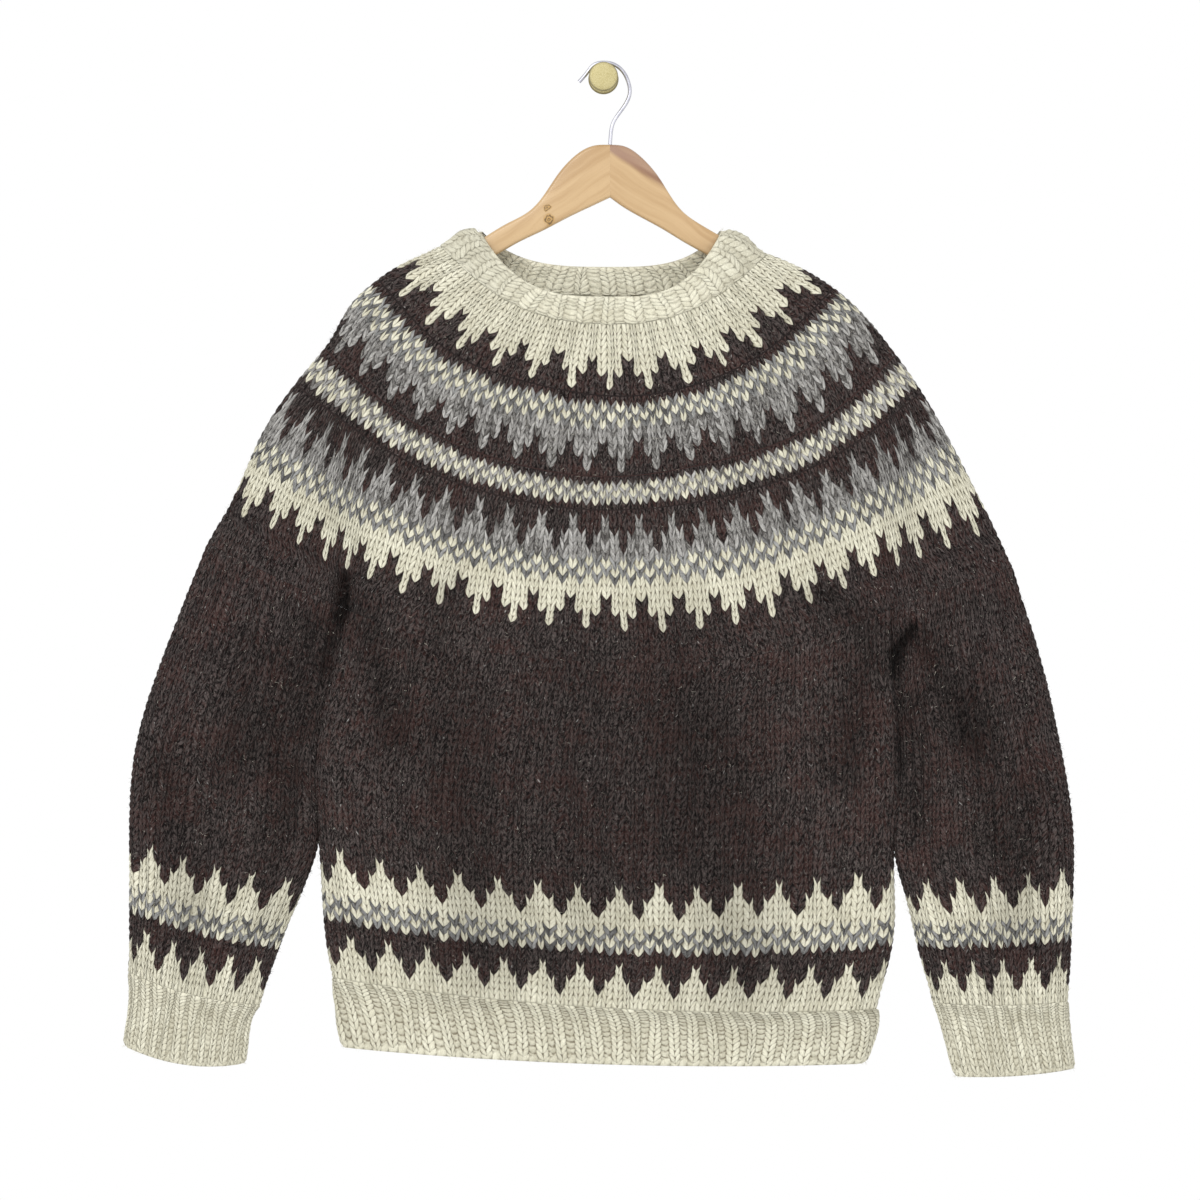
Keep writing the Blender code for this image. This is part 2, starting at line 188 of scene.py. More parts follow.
# One letter a stitch: W cream, g light grey, G mid grey, D brown-black. Four stitches repeat round a ring.
YOKE_CHART = (
    "WWWW", "WWWW", "WWWW", "WWWW", "WWWW", "WWDW", "WWDW", "WDDD", "WDDD", "DDDD",
    "DDDD", "WGWG", "GWGW", "WGWG", "gggg", "gggg", "ggDg", "ggDg", "gDDD", "gDDD", "DDDD",
    "DDDD", "WgWg", "gWgW", "WgWg", "DDDD",
    "DDDD", "gDDD", "gDDD", "ggDg", "ggDg", "gggg", "WGWG", "GWGW", "WGWG", "WWWW", "WWWW",
    "DWWW", "DWWW", "DDWD", "DDWD", "DDDD", "DDDD", "DDDD", "DDDD", "DDDD",
)
EDGE_CHART = (
    "WDDD", "WDDD", "WWDW", "WWDW", "WWWW", "WWWW", "WGWG", "GWGW", "WGWG", "DDDD", "DDDD",
    "WDDD", "WDDD", "WWDW", "WWDW", "WWWW", "WWWW",
)


def smooth(xs: Sequence[float], ys: Sequence, at: float | np.ndarray) -> np.ndarray:
    """Natural cubic spline through the rows of ys at xs.

    Args:
        xs: Rising places of the given rows.
        ys: One row of numbers, or one number, for each place.
        at: Where the spline is read.

    Returns:
        The values read, one for each place in at.
    """
    xs, ys, at = np.asarray(xs, float), np.asarray(ys, float), np.asarray(at, float)
    n, gap = len(xs), np.diff(xs)
    slope = (np.diff(ys, axis=0).T / gap).T
    system, right = np.eye(n), np.zeros(ys.shape)
    for i in range(1, n - 1):
        system[i, i - 1:i + 2] = gap[i - 1], 2 * (gap[i - 1] + gap[i]), gap[i]
        right[i] = 6 * (slope[i] - slope[i - 1])
    bend = np.linalg.solve(system, right)
    i = np.clip(np.searchsorted(xs, at, side="right") - 1, 0, n - 2)
    back, ahead, step = xs[i + 1] - at, at - xs[i], gap[i]

    def weigh(value: np.ndarray, weight: np.ndarray) -> np.ndarray:
        """Rows of value, each times its weight."""
        return (value.T * weight).T

    return (weigh(bend[i], back**3 / (6 * step)) + weigh(bend[i + 1], ahead**3 / (6 * step))
            + weigh(ys[i], back / step) - weigh(bend[i], back * step / 6)
            + weigh(ys[i + 1], ahead / step) - weigh(bend[i + 1], ahead * step / 6))


def ease(value: float | np.ndarray) -> np.ndarray:
    """0 below 0, 1 above 1 and a soft step between."""
    value = np.clip(value, 0.0, 1.0)
    return value * value * (3 - 2 * value)


def fold_shape(share: np.ndarray, half_width: float) -> np.ndarray:
    """How full the depth is at a share of the half width: 1 in the middle and 0 at the fold."""
    return np.sqrt(np.clip(1 - np.abs(share) ** max(2.0, half_width / FOLD), 0, 1))


def dents(x: np.ndarray, drop: np.ndarray) -> np.ndarray:
    """How deep the creases press the cloth in at these places, in millimetres."""
    total = np.zeros(np.shape(x))
    for from_x, from_drop, to_x, to_drop, width, dent in CREASES:
        along = np.array([to_x - from_x, to_drop - from_drop], float)
        length = np.linalg.norm(along)
        along /= length
        run = (x - from_x) * along[0] + (drop - from_drop) * along[1]
        off = (x - from_x) * along[1] - (drop - from_drop) * along[0]
        past = np.maximum(np.maximum(-run, run - length), 0)
        total += dent * np.exp(-(off**2 + past**2) / width**2)
    return total


def to_world(places: np.ndarray) -> np.ndarray:
    """Metres in the model's frame, from millimetres of x, depth and drop."""
    x, y, drop = places[..., 0], places[..., 1], places[..., 2]
    return np.stack([x + CENTRE_X, y + PLANE_Y, -drop], axis=-1) * MM


def linear(red: float, green: float, blue: float) -> tuple[float, float, float]:
    """Scene-linear colour from the 0 to 255 numbers of a screen colour."""
    return tuple((c / 255 / 12.92) if c <= 10 else ((c / 255 + 0.055) / 1.055) ** 2.4
                 for c in (red, green, blue))


class Shape:
    """A ring-shaped wall of cloth: angle 0 is the left fold, pi/2 the front's middle, pi the right fold."""

    def point(self, angle: np.ndarray, row: float, inset: float) -> np.ndarray:
        """Places of one ring, inset from the wall's outer side."""
        raise NotImplementedError


class YokeShape(Shape):
    """The round yoke, from the neck's pick-up round to the round that body and sleeves join."""

    def curve(self, share: np.ndarray, row: float, back: np.ndarray | bool) -> tuple[np.ndarray, np.ndarray]:
        """x and drop of a round at a share of its half width, on the front or the back."""
        table = smooth([line[0] for line in YOKE], [line[1:] for line in YOKE], row)
        left_x, drops, right_x = table[0], table[1:8], table[8]
        x = np.where(share < 0, -share * left_x, share * right_x)
        drop = smooth(YOKE_STATIONS, drops, share)
        lift = BACK_LIFT * (1 - ease(row / YOKE_ROWS)) * (1 - share**2)
        return x, drop - np.where(back, lift, 0)

    def depth(self, share: np.ndarray, row: float, inset: float) -> np.ndarray:
        """Half of the yoke's depth across a round, pinched where sleeve and body part."""
        table = smooth([line[0] for line in YOKE], [line[1:] for line in YOKE], row)
        left_x, right_x, half = table[0], table[8], table[9]
        width = (right_x - left_x) / 2
        plain = (half - inset) * fold_shape(share, width)
        if row <= PINCH_FROM_ROW:
            return plain
        x, _ = self.curve(share, row, False)
        pinch = ease((row - PINCH_FROM_ROW) / (YOKE_ROWS - PINCH_FROM_ROW))
        sides = ((left_x, SLEEVE_LEFT[0][2], SLEEVE_LEFT[0][5]), (BODY[0][0], BODY[0][2], BODY[0][5]),
                 (SLEEVE_RIGHT[0][0], right_x, SLEEVE_RIGHT[0][5]))
        joined = np.zeros(np.shape(x))
        for low, high, half in sides:
            place = (x - (low + high) / 2) / ((high - low) / 2)
            joined = np.maximum(joined, (half - inset) * fold_shape(np.clip(place, -1, 1), (high - low) / 2))
        inside = (x > (left_x + SLEEVE_LEFT[0][2]) / 2) & (x < (right_x + SLEEVE_RIGHT[0][0]) / 2)
        joined = np.where(inside, np.maximum(joined, PINCH - inset), np.minimum(joined, plain))
        return (1 - pinch) * plain + pinch * joined

    def point(self, angle: np.ndarray, row: float, inset: float) -> np.ndarray:
        """Places of one round."""
        width = (YOKE[0][9] - YOKE[0][1]) / 2 + row * ROW_GAIN
        share = -np.cos(angle) * (1 - FOLD_INSET * inset / width)
        back = np.sin(angle) < -NOUGHT
        x, drop = self.curve(share, row, back)
        y = self.depth(-np.cos(angle), row, inset) - dents(x, drop) * (np.abs(np.sin(angle)) > NOUGHT)
        return np.stack([x, np.where(back, y, -y), drop], axis=-1)

    def edge(self, x: np.ndarray) -> np.ndarray:
        """Drop of the last round at x."""
        share = np.where(x < 0, -x / YOKE[-1][1], x / YOKE[-1][9])
        return self.curve(np.clip(share, -1, 1), YOKE_ROWS, False)[1]


YOKE_SHAPE = YokeShape()


@dataclass
class TubeShape(Shape):
    """A flattened tube between two folds: body, hem rib, sleeve or cuff. Row 0 is its top, 1 its bottom."""

    table: tuple
    top_on_yoke: bool = False
    start: float = 0.0

    def read(self, row: float) -> np.ndarray:
        """The table's numbers at a row."""
        return smooth(np.linspace(0, 1, len(self.table)), self.table, row)

    def curve(self, share: np.ndarray, row: float) -> tuple[np.ndarray, np.ndarray]:
        """x and drop of a ring at a share of its half width, before its top is set on the yoke."""
        left_x, left, right_x, right, sag, _ = self.read(row)
        across = (share + 1) / 2
        return left_x + (right_x - left_x) * across, left + (right - left) * across + sag * (1 - share**2)

    def point(self, angle: np.ndarray, row: float, inset: float) -> np.ndarray:
        """Places of one ring."""
        left_x, left, right_x, right, _, half = self.read(row)
        half_width = math.hypot(right_x - left_x, right - left) / 2
        share = -np.cos(angle) * (1 - inset / half_width)
        x, drop = self.curve(share, row)
        if self.top_on_yoke:
            top_x, top = self.curve(share, 0)
            drop = drop + (YOKE_SHAPE.edge(top_x) + SEAM - top) * (1 - ease(row / TUBE_SETTLE))
        y = (half - inset) * fold_shape(np.cos(angle), half_width)
        y = y - dents(x, drop) * (y / half)
        return np.stack([x, np.where(np.sin(angle) < 0, y, -y), drop + self.start], axis=-1)


class NeckShape(Shape):
    """The ribbed band, row 0 at the yoke and 1 at the neck edge."""

    def point(self, angle: np.ndarray, row: float, inset: float) -> np.ndarray:
        """Places of one ring."""
        seam, edge = np.array(NECK_SEAM, float), np.array(NECK_EDGE, float)
        left_x, left, front, rear, right, right_x, half, power = seam + (edge - seam) * row
        width = (right_x - left_x) / 2
        share = -np.cos(angle) * (1 - FOLD_INSET * inset / width)
        back = np.sin(angle) < -NOUGHT
        x = np.where(share < 0, -share * left_x, share * right_x)
        middle = np.where(back, rear, front)
        drop = middle + (np.where(share < 0, left, right) - middle) * np.abs(share) ** power
        _, on_yoke = YOKE_SHAPE.curve(share, 0, back)
        drop = drop + (on_yoke - SEAM - drop) * (1 - ease(row / NECK_SETTLE))
        drop = drop - NECK_BULGE * 4 * row * (1 - row) * np.abs(share) ** NECK_BULGE_POWER
        y = (half - inset) * fold_shape(np.cos(angle), width)
        return np.stack([x, np.where(back, y, -y), drop], axis=-1)


class Cloth:
    """Places on a ring-shaped wall by turn and row, with even lengths of cloth between even turns.

    Turn 0 is the front's middle, and it runs to 0.5 or -0.5 at the back's middle.
    """

    STEP = 0.5  # rows between two rings that are read
    SAMPLES = 1440  # places kept on a ring
    RING_POINTS = 2881  # places that a ring is measured by

    def __init__(self, shape: Shape, rows: tuple[float, float], to_shape: Callable[[float], float],
                 crowd: Callable[[np.ndarray], np.ndarray] | None = None) -> None:
        """Reads the shape ring by ring.

        Args:
            shape: The wall that the cloth follows.
            rows: First and last row.
            to_shape: Turns a row of stitches into the shape's own row.
            crowd: How much closer stitches stand at x, where 1 is the usual distance.
        """
        self.first, self.last = rows
        count = max(3, int(round((self.last - self.first) / self.STEP)) + 1)
        self.lines = np.linspace(self.first, self.last, count)
        angles = np.linspace(-math.pi / 2, 3 * math.pi / 2, self.RING_POINTS)
        turns = np.arange(self.SAMPLES) / self.SAMPLES - 0.5
        outer, inner = [], []
        self.turn_of_x: list[tuple[np.ndarray, np.ndarray]] = []
        self.girths: list[float] = []
        for line in self.lines:
            row = to_shape(float(line))
            ring = shape.point(angles, row, 0.0)
            lengths = np.linalg.norm(np.diff(ring, axis=0), axis=1)
            self.girths.append(float(lengths.sum()))
            if crowd is not None:
                lengths = lengths * crowd((ring[1:, 0] + ring[:-1, 0]) / 2)
            along = np.concatenate([[0], np.cumsum(lengths)])
            turn = (along - np.interp(math.pi / 2, angles, along)) / along[-1]
            front = (angles >= 0) & (angles <= math.pi)
            self.turn_of_x.append((ring[front, 0], turn[front]))
            around = np.interp(turns, np.concatenate([turn - 1, turn[1:-1], turn + 1]),
                               np.concatenate([angles - 2 * math.pi, angles[1:-1], angles + 2 * math.pi]))
            outer.append(shape.point(around, row, 0.0))
            inner.append(shape.point(around, row, WALL))
        self.outer, self.inner = to_world(np.array(outer)), to_world(np.array(inner))
        across = np.roll(self.outer, -1, axis=1) - np.roll(self.outer, 1, axis=1)
        normal = np.cross(across, np.gradient(self.outer, axis=0))
        normal /= np.maximum(np.linalg.norm(normal, axis=-1, keepdims=True), 1e-12)
        side = np.sum(normal * (self.outer - self.inner), axis=-1, keepdims=True)
        self.normal = normal * np.where(side < 0, -1.0, 1.0)

    def turn_at(self, x: float, row: float) -> float:
        """Turn of the place on the front at x, in a row."""
        line = int(np.argmin(np.abs(self.lines - row)))
        xs, turns = self.turn_of_x[line]
        return float(np.interp(x, xs, turns))

    def place(self, turn: np.ndarray, row: np.ndarray, lift: np.ndarray, inner: bool = False) -> np.ndarray:
        """Places in metres, lifted off the wall's outer or inner side.

        Args:
            turn: Turns round the ring.
            row: Rows.
            lift: Millimetres away from the wall.
            inner: Whether the inner side is meant.

        Returns:
            One place for each turn and row.
        """
        at = np.clip((row - self.first) / (self.lines[1] - self.lines[0]), 0, len(self.lines) - 1 - NEAR)
        i = at.astype(int)
        f = (at - i)[:, None]
        around = (turn + 0.5) % 1.0 * self.SAMPLES
        j = around.astype(int) % self.SAMPLES
        g = (around - np.floor(around))[:, None]
        k = (j + 1) % self.SAMPLES

        def read(table: np.ndarray) -> np.ndarray:
            """Values between the four nearest ones."""
            upper = table[i, j] * (1 - g) + table[i, k] * g
            lower = table[i + 1, j] * (1 - g) + table[i + 1, k] * g
            return upper * (1 - f) + lower * f

        sign = -1.0 if inner else 1.0
        normal = read(self.normal)
        normal /= np.linalg.norm(normal, axis=-1, keepdims=True)
        return read(self.inner if inner else self.outer) + sign * lift[:, None] * MM * normal


class Waves:
    """Soft unevenness that closes round a ring: a sum of waves over turn and row."""

    def __init__(self, seed: int, round_waves: tuple[int, int], row_pace: float, count: int = 9) -> None:
        """Picks the waves.

        Args:
            seed: Picks the same waves every time.
            round_waves: Fewest and most waves round the ring.
            row_pace: Most radians that a wave turns in one row.
            count: How many waves are summed.
        """
        chance = np.random.default_rng(seed)
        self.rounds = chance.integers(round_waves[0], round_waves[1] + 1, count)
        self.paces = chance.uniform(-row_pace, row_pace, count)
        self.starts = chance.uniform(0, 2 * math.pi, count)
        self.scale = math.sqrt(2.0 / count)

    def at(self, turn: np.ndarray, row: np.ndarray) -> np.ndarray:
        """Height of the waves, mostly between -1 and 1."""
        total = np.zeros(np.shape(turn))
        for rounds, pace, start in zip(self.rounds, self.paces, self.starts):
            total += np.sin(2 * math.pi * rounds * turn + pace * row + start)
        return total * self.scale


class Stitch(Enum):
    """How a piece is knitted."""

    STOCKING = "stocking stitch"
    RIB = "1x1 rib"


YARN_PARTS = {"W": (1, 0, 0), "g": (0, 1, 0), "G": (0, 0, 1), "D": (0, 0, 0)}


@dataclass
class Band:
    """Rows of a piece that have the same number of stitches.

    Attributes:
        first: First row.
        last: Row that the next band starts at.
        stitches: How many stitches go round, a multiple of four.
        chart: Colour letters of the chart's rows.
        chart_row: Row that the chart starts at.
        tip_x: Where the chart's first stitch has its middle on the front.
        tip_row: Row in which tip_x is meant.
        plain: Colour letter outside the chart.
    """

    first: float
    last: float
    stitches: int
    chart: tuple[str, ...]
    chart_row: int
    tip_x: float
    tip_row: float
    plain: str = "D"

    def centre(self, cloth: Cloth) -> float:
        """Stitch number at the front's middle, with a first chart stitch at half of all the stitches."""
        return self.stitches // 2 + 0.5 - self.stitches * cloth.turn_at(self.tip_x, self.tip_row)

    def yarn(self, stitch: np.ndarray, row: np.ndarray) -> np.ndarray:
        """Shares of cream, light grey and mid grey at these stitch numbers and rows."""
        letters = np.full(np.shape(stitch), self.plain)
        if not self.chart:
            return np.tile(np.array(YARN_PARTS[self.plain], float), np.shape(stitch) + (1,))
        inside = (row >= self.chart_row) & (row < self.chart_row + len(self.chart))
        table = np.array([list(line) for line in self.chart])
        repeat = (stitch - self.stitches // 2) % 4
        letters[inside] = table[(row - self.chart_row)[inside], repeat[inside]]
        parts = np.zeros(np.shape(stitch) + (3,))
        for letter, part in YARN_PARTS.items():
            parts[letters == letter] = part
        return parts


@dataclass
class KnitPiece:
    """A piece of the garment: outer skin with shaped stitches, inner skin and closed rims.

    Attributes:
        name: The piece's name.
        node: The solid that it stands for.
        slot: Its material slot, which is not used.
        shape: The wall that it follows.
        bands: Its rows of stitches, from the top down.
        to_shape: Turns a row of stitches into the shape's own row.
        stitch: How it is knitted.
        free_top: Whether its first row is an open edge.
        free_bottom: Whether its last row is a bound-off edge.
        fine_inside: Whether its inner side shows, so that it has shaped stitches too.
        seed: Picks its unevenness.
        lean: Stitches that its ribs lean over in LEAN_ROWS rows.
        knit_share: Share of a rib's width that its knit stitch takes.
        deep: How dark the painted shade is in the gaps between cream stitches and in the purl columns, from 0
            to 1.
        crowd: How much closer stitches stand at x.
        crowded: Numbers of the bands that crowd applies to.
    """

    name: str
    node: str
    slot: str
    shape: Shape
    bands: list[Band]
    to_shape: Callable[[float], float]
    stitch: Stitch = Stitch.STOCKING
    free_top: bool = False
    free_bottom: bool = False
    fine_inside: bool = False
    seed: int = 1
    lean: float = 0.0
    knit_share: float = 0.5
    deep: float = 0.75
    crowd: Callable[[np.ndarray], np.ndarray] | None = None
    crowded: tuple[int, ...] = ()

    # Columns and lines of faces in a stitch. What follows is read by column or by line.
    ACROSS, DOWN = 4, 3
    ZIGZAG = (-0.5, 0.07, 0.43, 0.07)
    COLUMN_LIFT = (-1.05, 0.45, -0.35, 0.45)
    LINE_LIFT = (-0.5, 0.2, 0.2)
    SLANT = (0.0, -0.045, 0.05)
    RIB_KNIT_LIFT = (-0.1, 1.5, 0.8, 1.5)
    RIB_PURL_LIFT = (-0.1, -0.2, -0.2, -0.2)
    PURL_LINE_LIFT = (0.45, -0.25, 0.1)
    RIB_ZIGZAG = 0.7
    END_LIFT = 0.3  # share of the lift that stays at a band's first and last line

    # Unevenness
    SOFT = 1.1  # millimetres
    RIB_SOFT = 0.35  # share of SOFT on a rib
    SOFT_ROWS = 5  # from a piece's end to the full unevenness
    ROW_WAVE = 0.13  # rows
    WALE_WAVE = 0.09  # stitches
    STRAY = 0.05  # of every vertex by itself, in stitches and in rows
    STRAY_LIFT = 0.22  # the same, in millimetres
    STRAY_SEED = 40
    RIB_SWAY = 0.12  # stitches
    LEAN_ROWS = 8
    SWAY_ROWS = 2  # from a rib's first row to the full sway
    PRESS = 0.14  # stitches that a darker neighbour takes from a cream stitch

    # Ends of a piece or a band, in rows but for the first
    EDGE_ROUND = 1.7  # millimetres that an open edge falls
    EDGE_ROWS = 0.8
    BIND_ROWS = 0.9
    SEAM_ROWS = 0.4
    BAND_GAP = 0.08  # left for the faces that join two bands

    def __post_init__(self) -> None:
        """Reads the wall for each band and for the inner side, and picks the unevenness."""
        self.first, self.last = self.bands[0].first, self.bands[-1].last
        self.soft = Waves(self.seed, (3, 17), 0.35)
        self.row_waves = Waves(self.seed + 1, (9, 46), 0.8)
        self.wale_waves = Waves(self.seed + 2, (9, 46), 0.5)
        self.lean_waves = Waves(self.seed + 3, (2, 9), 0.3)
        self.cloths = [Cloth(self.shape, (band.first, band.last), self.to_shape,
                             self.crowd if number in self.crowded else None)
                       for number, band in enumerate(self.bands)]
        most = max(band.stitches for band in self.bands)
        self.lining = Band(self.first, self.last, most if self.fine_inside else most // 2, (), 0,
                           self.bands[0].tip_x, self.bands[0].tip_row)
        self.lining_cloth = Cloth(self.shape, (self.first, self.last), self.to_shape)

    def build(self) -> bpy.types.Object:
        """Makes the piece's mesh with its stitch attributes.

        Returns:
            The object, linked to the scene.
        """
        mesh = bmesh.new()
        uv, skin = mesh.loops.layers.uv.new("knit"), mesh.faces.layers.int.new("skin")
        loops = []
        for number, (band, cloth) in enumerate(zip(self.bands, self.cloths)):
            above = self.BAND_GAP if number else 0.0
            below = self.BAND_GAP if number < len(self.bands) - 1 else 0.0
            loops.append(self.add_skin(mesh, number + 1, band, cloth, (above, below)))
        inside = self.add_skin(mesh, -1, self.lining, self.lining_cloth, (0.0, 0.0))
        pairs = [(loops[0][0], inside[0], self.first + 0.5), (loops[-1][1], inside[1], self.last - 0.5)]
        pairs += [(one[1], two[0], band.last - 0.5) for one, two, band in zip(loops, loops[1:], self.bands)]
        for one, two, row in pairs:
            joined = bmesh.ops.bridge_loops(mesh, edges=self.ring_edges(one) + self.ring_edges(two))
            for face in joined["faces"]:
                face[skin] = 0
                for corner in face.loops:
                    corner[uv].uv = (0.25, row)
        bmesh.ops.recalc_face_normals(mesh, faces=mesh.faces)
        for face in mesh.faces:
            face.smooth = True
        for edge in self.ring_edges(loops[0][0]) + self.ring_edges(loops[-1][1]):
            edge.smooth = False
        data = bpy.data.meshes.new(self.name)
        mesh.to_mesh(data)
        mesh.free()
        self.write_attributes(data)
        return put(self.name, data)

    def add_skin(self, mesh: bmesh.types.BMesh, tag: int, band: Band, cloth: Cloth,
                 free: tuple[float, float]) -> tuple[list, list]:
        """Adds one grid of stitches.

        Args:
            mesh: Where it goes.
            tag: Number of the band, from 1, or -1 for the inner side.
            band: Rows and stitches.
            cloth: The wall.
            free: Parts of a row left free at the top and at the bottom.

        Returns:
            The vertices of the first line and of the last one.
        """
        uv, skin = mesh.loops.layers.uv["knit"], mesh.faces.layers.int["skin"]
        across, down = (self.ACROSS, self.DOWN) if tag > 0 or self.fine_inside else (1, 1)
        columns, lines = band.stitches * across, int(round(band.last - band.first)) * down
        made = bmesh.ops.create_grid(mesh, x_segments=columns, y_segments=lines, size=0.5)["verts"]
        flat = np.array([vert.co[:2] for vert in made])
        column = np.rint((flat[:, 0] + 0.5) * columns).astype(int)
        line = np.rint((flat[:, 1] + 0.5) * lines).astype(int)
        stitch, row = column / across, band.first + line / down
        places = self.places(band, cloth, column, line, (across, down), tag < 0, free)
        for vert, place, u, v in zip(made, places, stitch, row):
            vert.co = place
            for corner in vert.link_loops:
                corner[uv].uv = (u, v)
        for face in {face for vert in made for face in vert.link_faces}:
            face[skin] = tag
        first = [vert for vert, at in zip(made, line) if at == 0]
        last = [vert for vert, at in zip(made, line) if at == lines]
        seam = [vert for vert, at in zip(made, column) if at in (0, columns)]
        bmesh.ops.remove_doubles(mesh, verts=seam, dist=MERGE)
        return [v for v in first if v.is_valid], [v for v in last if v.is_valid]

    def places(self, band: Band, cloth: Cloth, column: np.ndarray, line: np.ndarray, grid: tuple[int, int],
               inner: bool, free: tuple[float, float]) -> np.ndarray:
        """Where the vertices of a grid of stitches go.

        Args:
            band: Rows and stitches.
            cloth: The wall.
            column: Number of each vertex's column.
            line: Number of each vertex's line.
            grid: Columns and lines in a stitch.
            inner: Whether this is the inner side.
            free: Parts of a row left free at the top and at the bottom.

        Returns:
            Places in metres.
        """
        across, down = grid
        column = column % (band.stitches * across)
        stitch, row = column / across, band.first + line / down
        rib = self.stitch is Stitch.RIB
        turn = (stitch - band.centre(cloth)) / band.stitches
        ends = np.minimum(row - self.first, self.last - row)
        soft = self.SOFT * self.soft.at(turn, row) * (self.RIB_SOFT if rib else 1.0)
        soft = soft * ease(ends / self.SOFT_ROWS)
        lift = -soft if inner else soft
        if across > 1:
            fade = ease(2 * np.minimum(row - band.first, band.last - row))
            form = self.rib_form if rib else self.plain_form
            lower, wider, raised = form(band, stitch, column % across, line % down, fade, inner)
            if not inner and band.chart:
                wider = wider + self.pressed(band, stitch, row, column % across)
            turn, lift = turn + wider * fade / band.stitches, lift + raised
            shape = (3, line.max() + 1, band.stitches * across + 1)
            chance = np.random.default_rng(self.seed + self.STRAY_SEED).uniform(-1, 1, shape)
            stray, stray_row, stray_lift = chance[:, line, column]
            row = row + (lower + self.ROW_WAVE * self.row_waves.at(turn, row) + self.STRAY * stray_row) * fade
            wave = self.WALE_WAVE * self.wale_waves.at(turn, row)
            turn = turn + (wave + self.STRAY * stray * fade) / band.stitches
            lift = lift + self.STRAY_LIFT * stray_lift * fade
            if rib:
                sway = self.RIB_SWAY * self.lean_waves.at(turn, row)
                sway = sway + self.lean * (row - self.first) / self.LEAN_ROWS
                turn = turn + sway * ease((row - self.first) / self.SWAY_ROWS) / band.stitches
        for is_free, off in ((self.free_top, row - self.first), (self.free_bottom, self.last - row)):
            if is_free:
                lift = lift - self.EDGE_ROUND * (1 - ease(off / self.EDGE_ROWS))
        return cloth.place(turn, np.clip(row, band.first + free[0], band.last - free[1]), lift, inner)

    def rib_form(self, band: Band, stitch: np.ndarray, part: np.ndarray, piece: np.ndarray, fade: np.ndarray,
                 inner: bool) -> tuple[np.ndarray, np.ndarray, np.ndarray]:
        """How a rib's vertices leave the even grid.

        Args:
            band: Rows and stitches.
            stitch: Place round the ring, in stitches.
            part: Number of the column in its stitch.
            piece: Number of the line in its row.
            fade: 1, but less towards the band's ends.
            inner: Whether this is the inner side, where knit and purl change places.

        Returns:
            Rows down, stitches across and millimetres up.
        """
        knit = (np.floor(stitch).astype(int) - band.stitches // 2) % 2 == (1 if inner else 0)
        edge = part == 0
        beside = np.abs(2 * (stitch % 1.0) - 1)
        lower = np.where(knit & ~edge, self.RIB_ZIGZAG * (1 - beside), 0.0)
        wider = (stitch % 1.0 - 0.5) * (2 * self.knit_share - 1) * np.where(knit, 1.0, -1.0)
        raised = np.where(knit, np.take(self.RIB_KNIT_LIFT, part), np.take(self.RIB_PURL_LIFT, part))
        bars = np.where(knit | edge, 0.0, np.take(self.PURL_LINE_LIFT, piece))
        return lower, wider, (raised + bars) * fade

    def plain_form(self, band: Band, stitch: np.ndarray, part: np.ndarray, piece: np.ndarray,
                   fade: np.ndarray, inner: bool) -> tuple[np.ndarray, np.ndarray, np.ndarray]:
        """How the vertices of stocking stitch leave the even grid, with what rib_form takes and returns."""
        slant = np.take(self.SLANT, piece) * np.select([part == 1, part == 3], [1.0, -1.0], 0.0)
        raised = np.take(self.COLUMN_LIFT, part) + np.take(self.LINE_LIFT, piece)
        return np.take(self.ZIGZAG, part), slant, raised * (self.END_LIFT + (1 - self.END_LIFT) * fade)

    def pressed(self, band: Band, stitch: np.ndarray, row: np.ndarray, part: np.ndarray) -> np.ndarray:
        """How far a border between two stitches moves, as darker neighbours narrow a cream stitch."""
        here, at = np.floor(stitch + NEAR).astype(int), np.floor(row + NEAR).astype(int)
        before, after = band.yarn(here - 1, at)[..., 0], band.yarn(here, at)[..., 0]
        return np.where(part == 0, self.PRESS * (after - before), 0.0)

    @staticmethod
    def ring_edges(ring: list[bmesh.types.BMVert]) -> list[bmesh.types.BMEdge]:
        """The edges that join the vertices of one ring."""
        inside = set(ring)
        return list({edge for vert in ring for edge in vert.link_edges if edge.other_vert(vert) in inside})

    def yarns(self, middle: np.ndarray, skin: np.ndarray) -> tuple[np.ndarray, np.ndarray]:
        """What each face is knitted with.

        Args:
            middle: Stitch and row in the middle of each face.
            skin: Number of each face's band, 0 on a rim or -1 on the inner side.

        Returns:
            Shares of three yarns, and a chance tone that is the same all over a leg.
        """
        chance = np.random.default_rng(self.seed)
        yarn, tone = np.zeros((len(skin), 3)), np.zeros(len(skin))
        for number, band in enumerate(self.bands):
            rim = (skin == 0) & (middle[:, 1] > band.first) & (middle[:, 1] < band.last)
            yarn[rim] = band.yarn(np.zeros(rim.sum(), int), np.floor(middle[rim, 1]).astype(int))
            here = skin == number + 1
            stitch, row = np.floor(middle[here]).astype(int).T
            yarn[here] = band.yarn(stitch, row)
            table = chance.uniform(-1, 1, (int(self.last) + 2, band.stitches * 2))
            tone[here] = table[row, np.floor(middle[here, 0] * 2).astype(int) % table.shape[1]]
        here = np.flatnonzero(skin == -1)
        turn = (middle[here, 0] - self.lining.centre(self.lining_cloth)) / self.lining.stitches
        row = np.floor(middle[here, 1]).astype(int)
        for band, cloth in zip(self.bands, self.cloths):
            rows = (row >= band.first) & (row < band.last)
            stitch = np.floor(turn[rows] * band.stitches + band.centre(cloth)).astype(int)
            yarn[here[rows]] = band.yarn(stitch, row[rows])
        tone[here] = chance.uniform(-1, 1, len(here))
        return yarn, tone

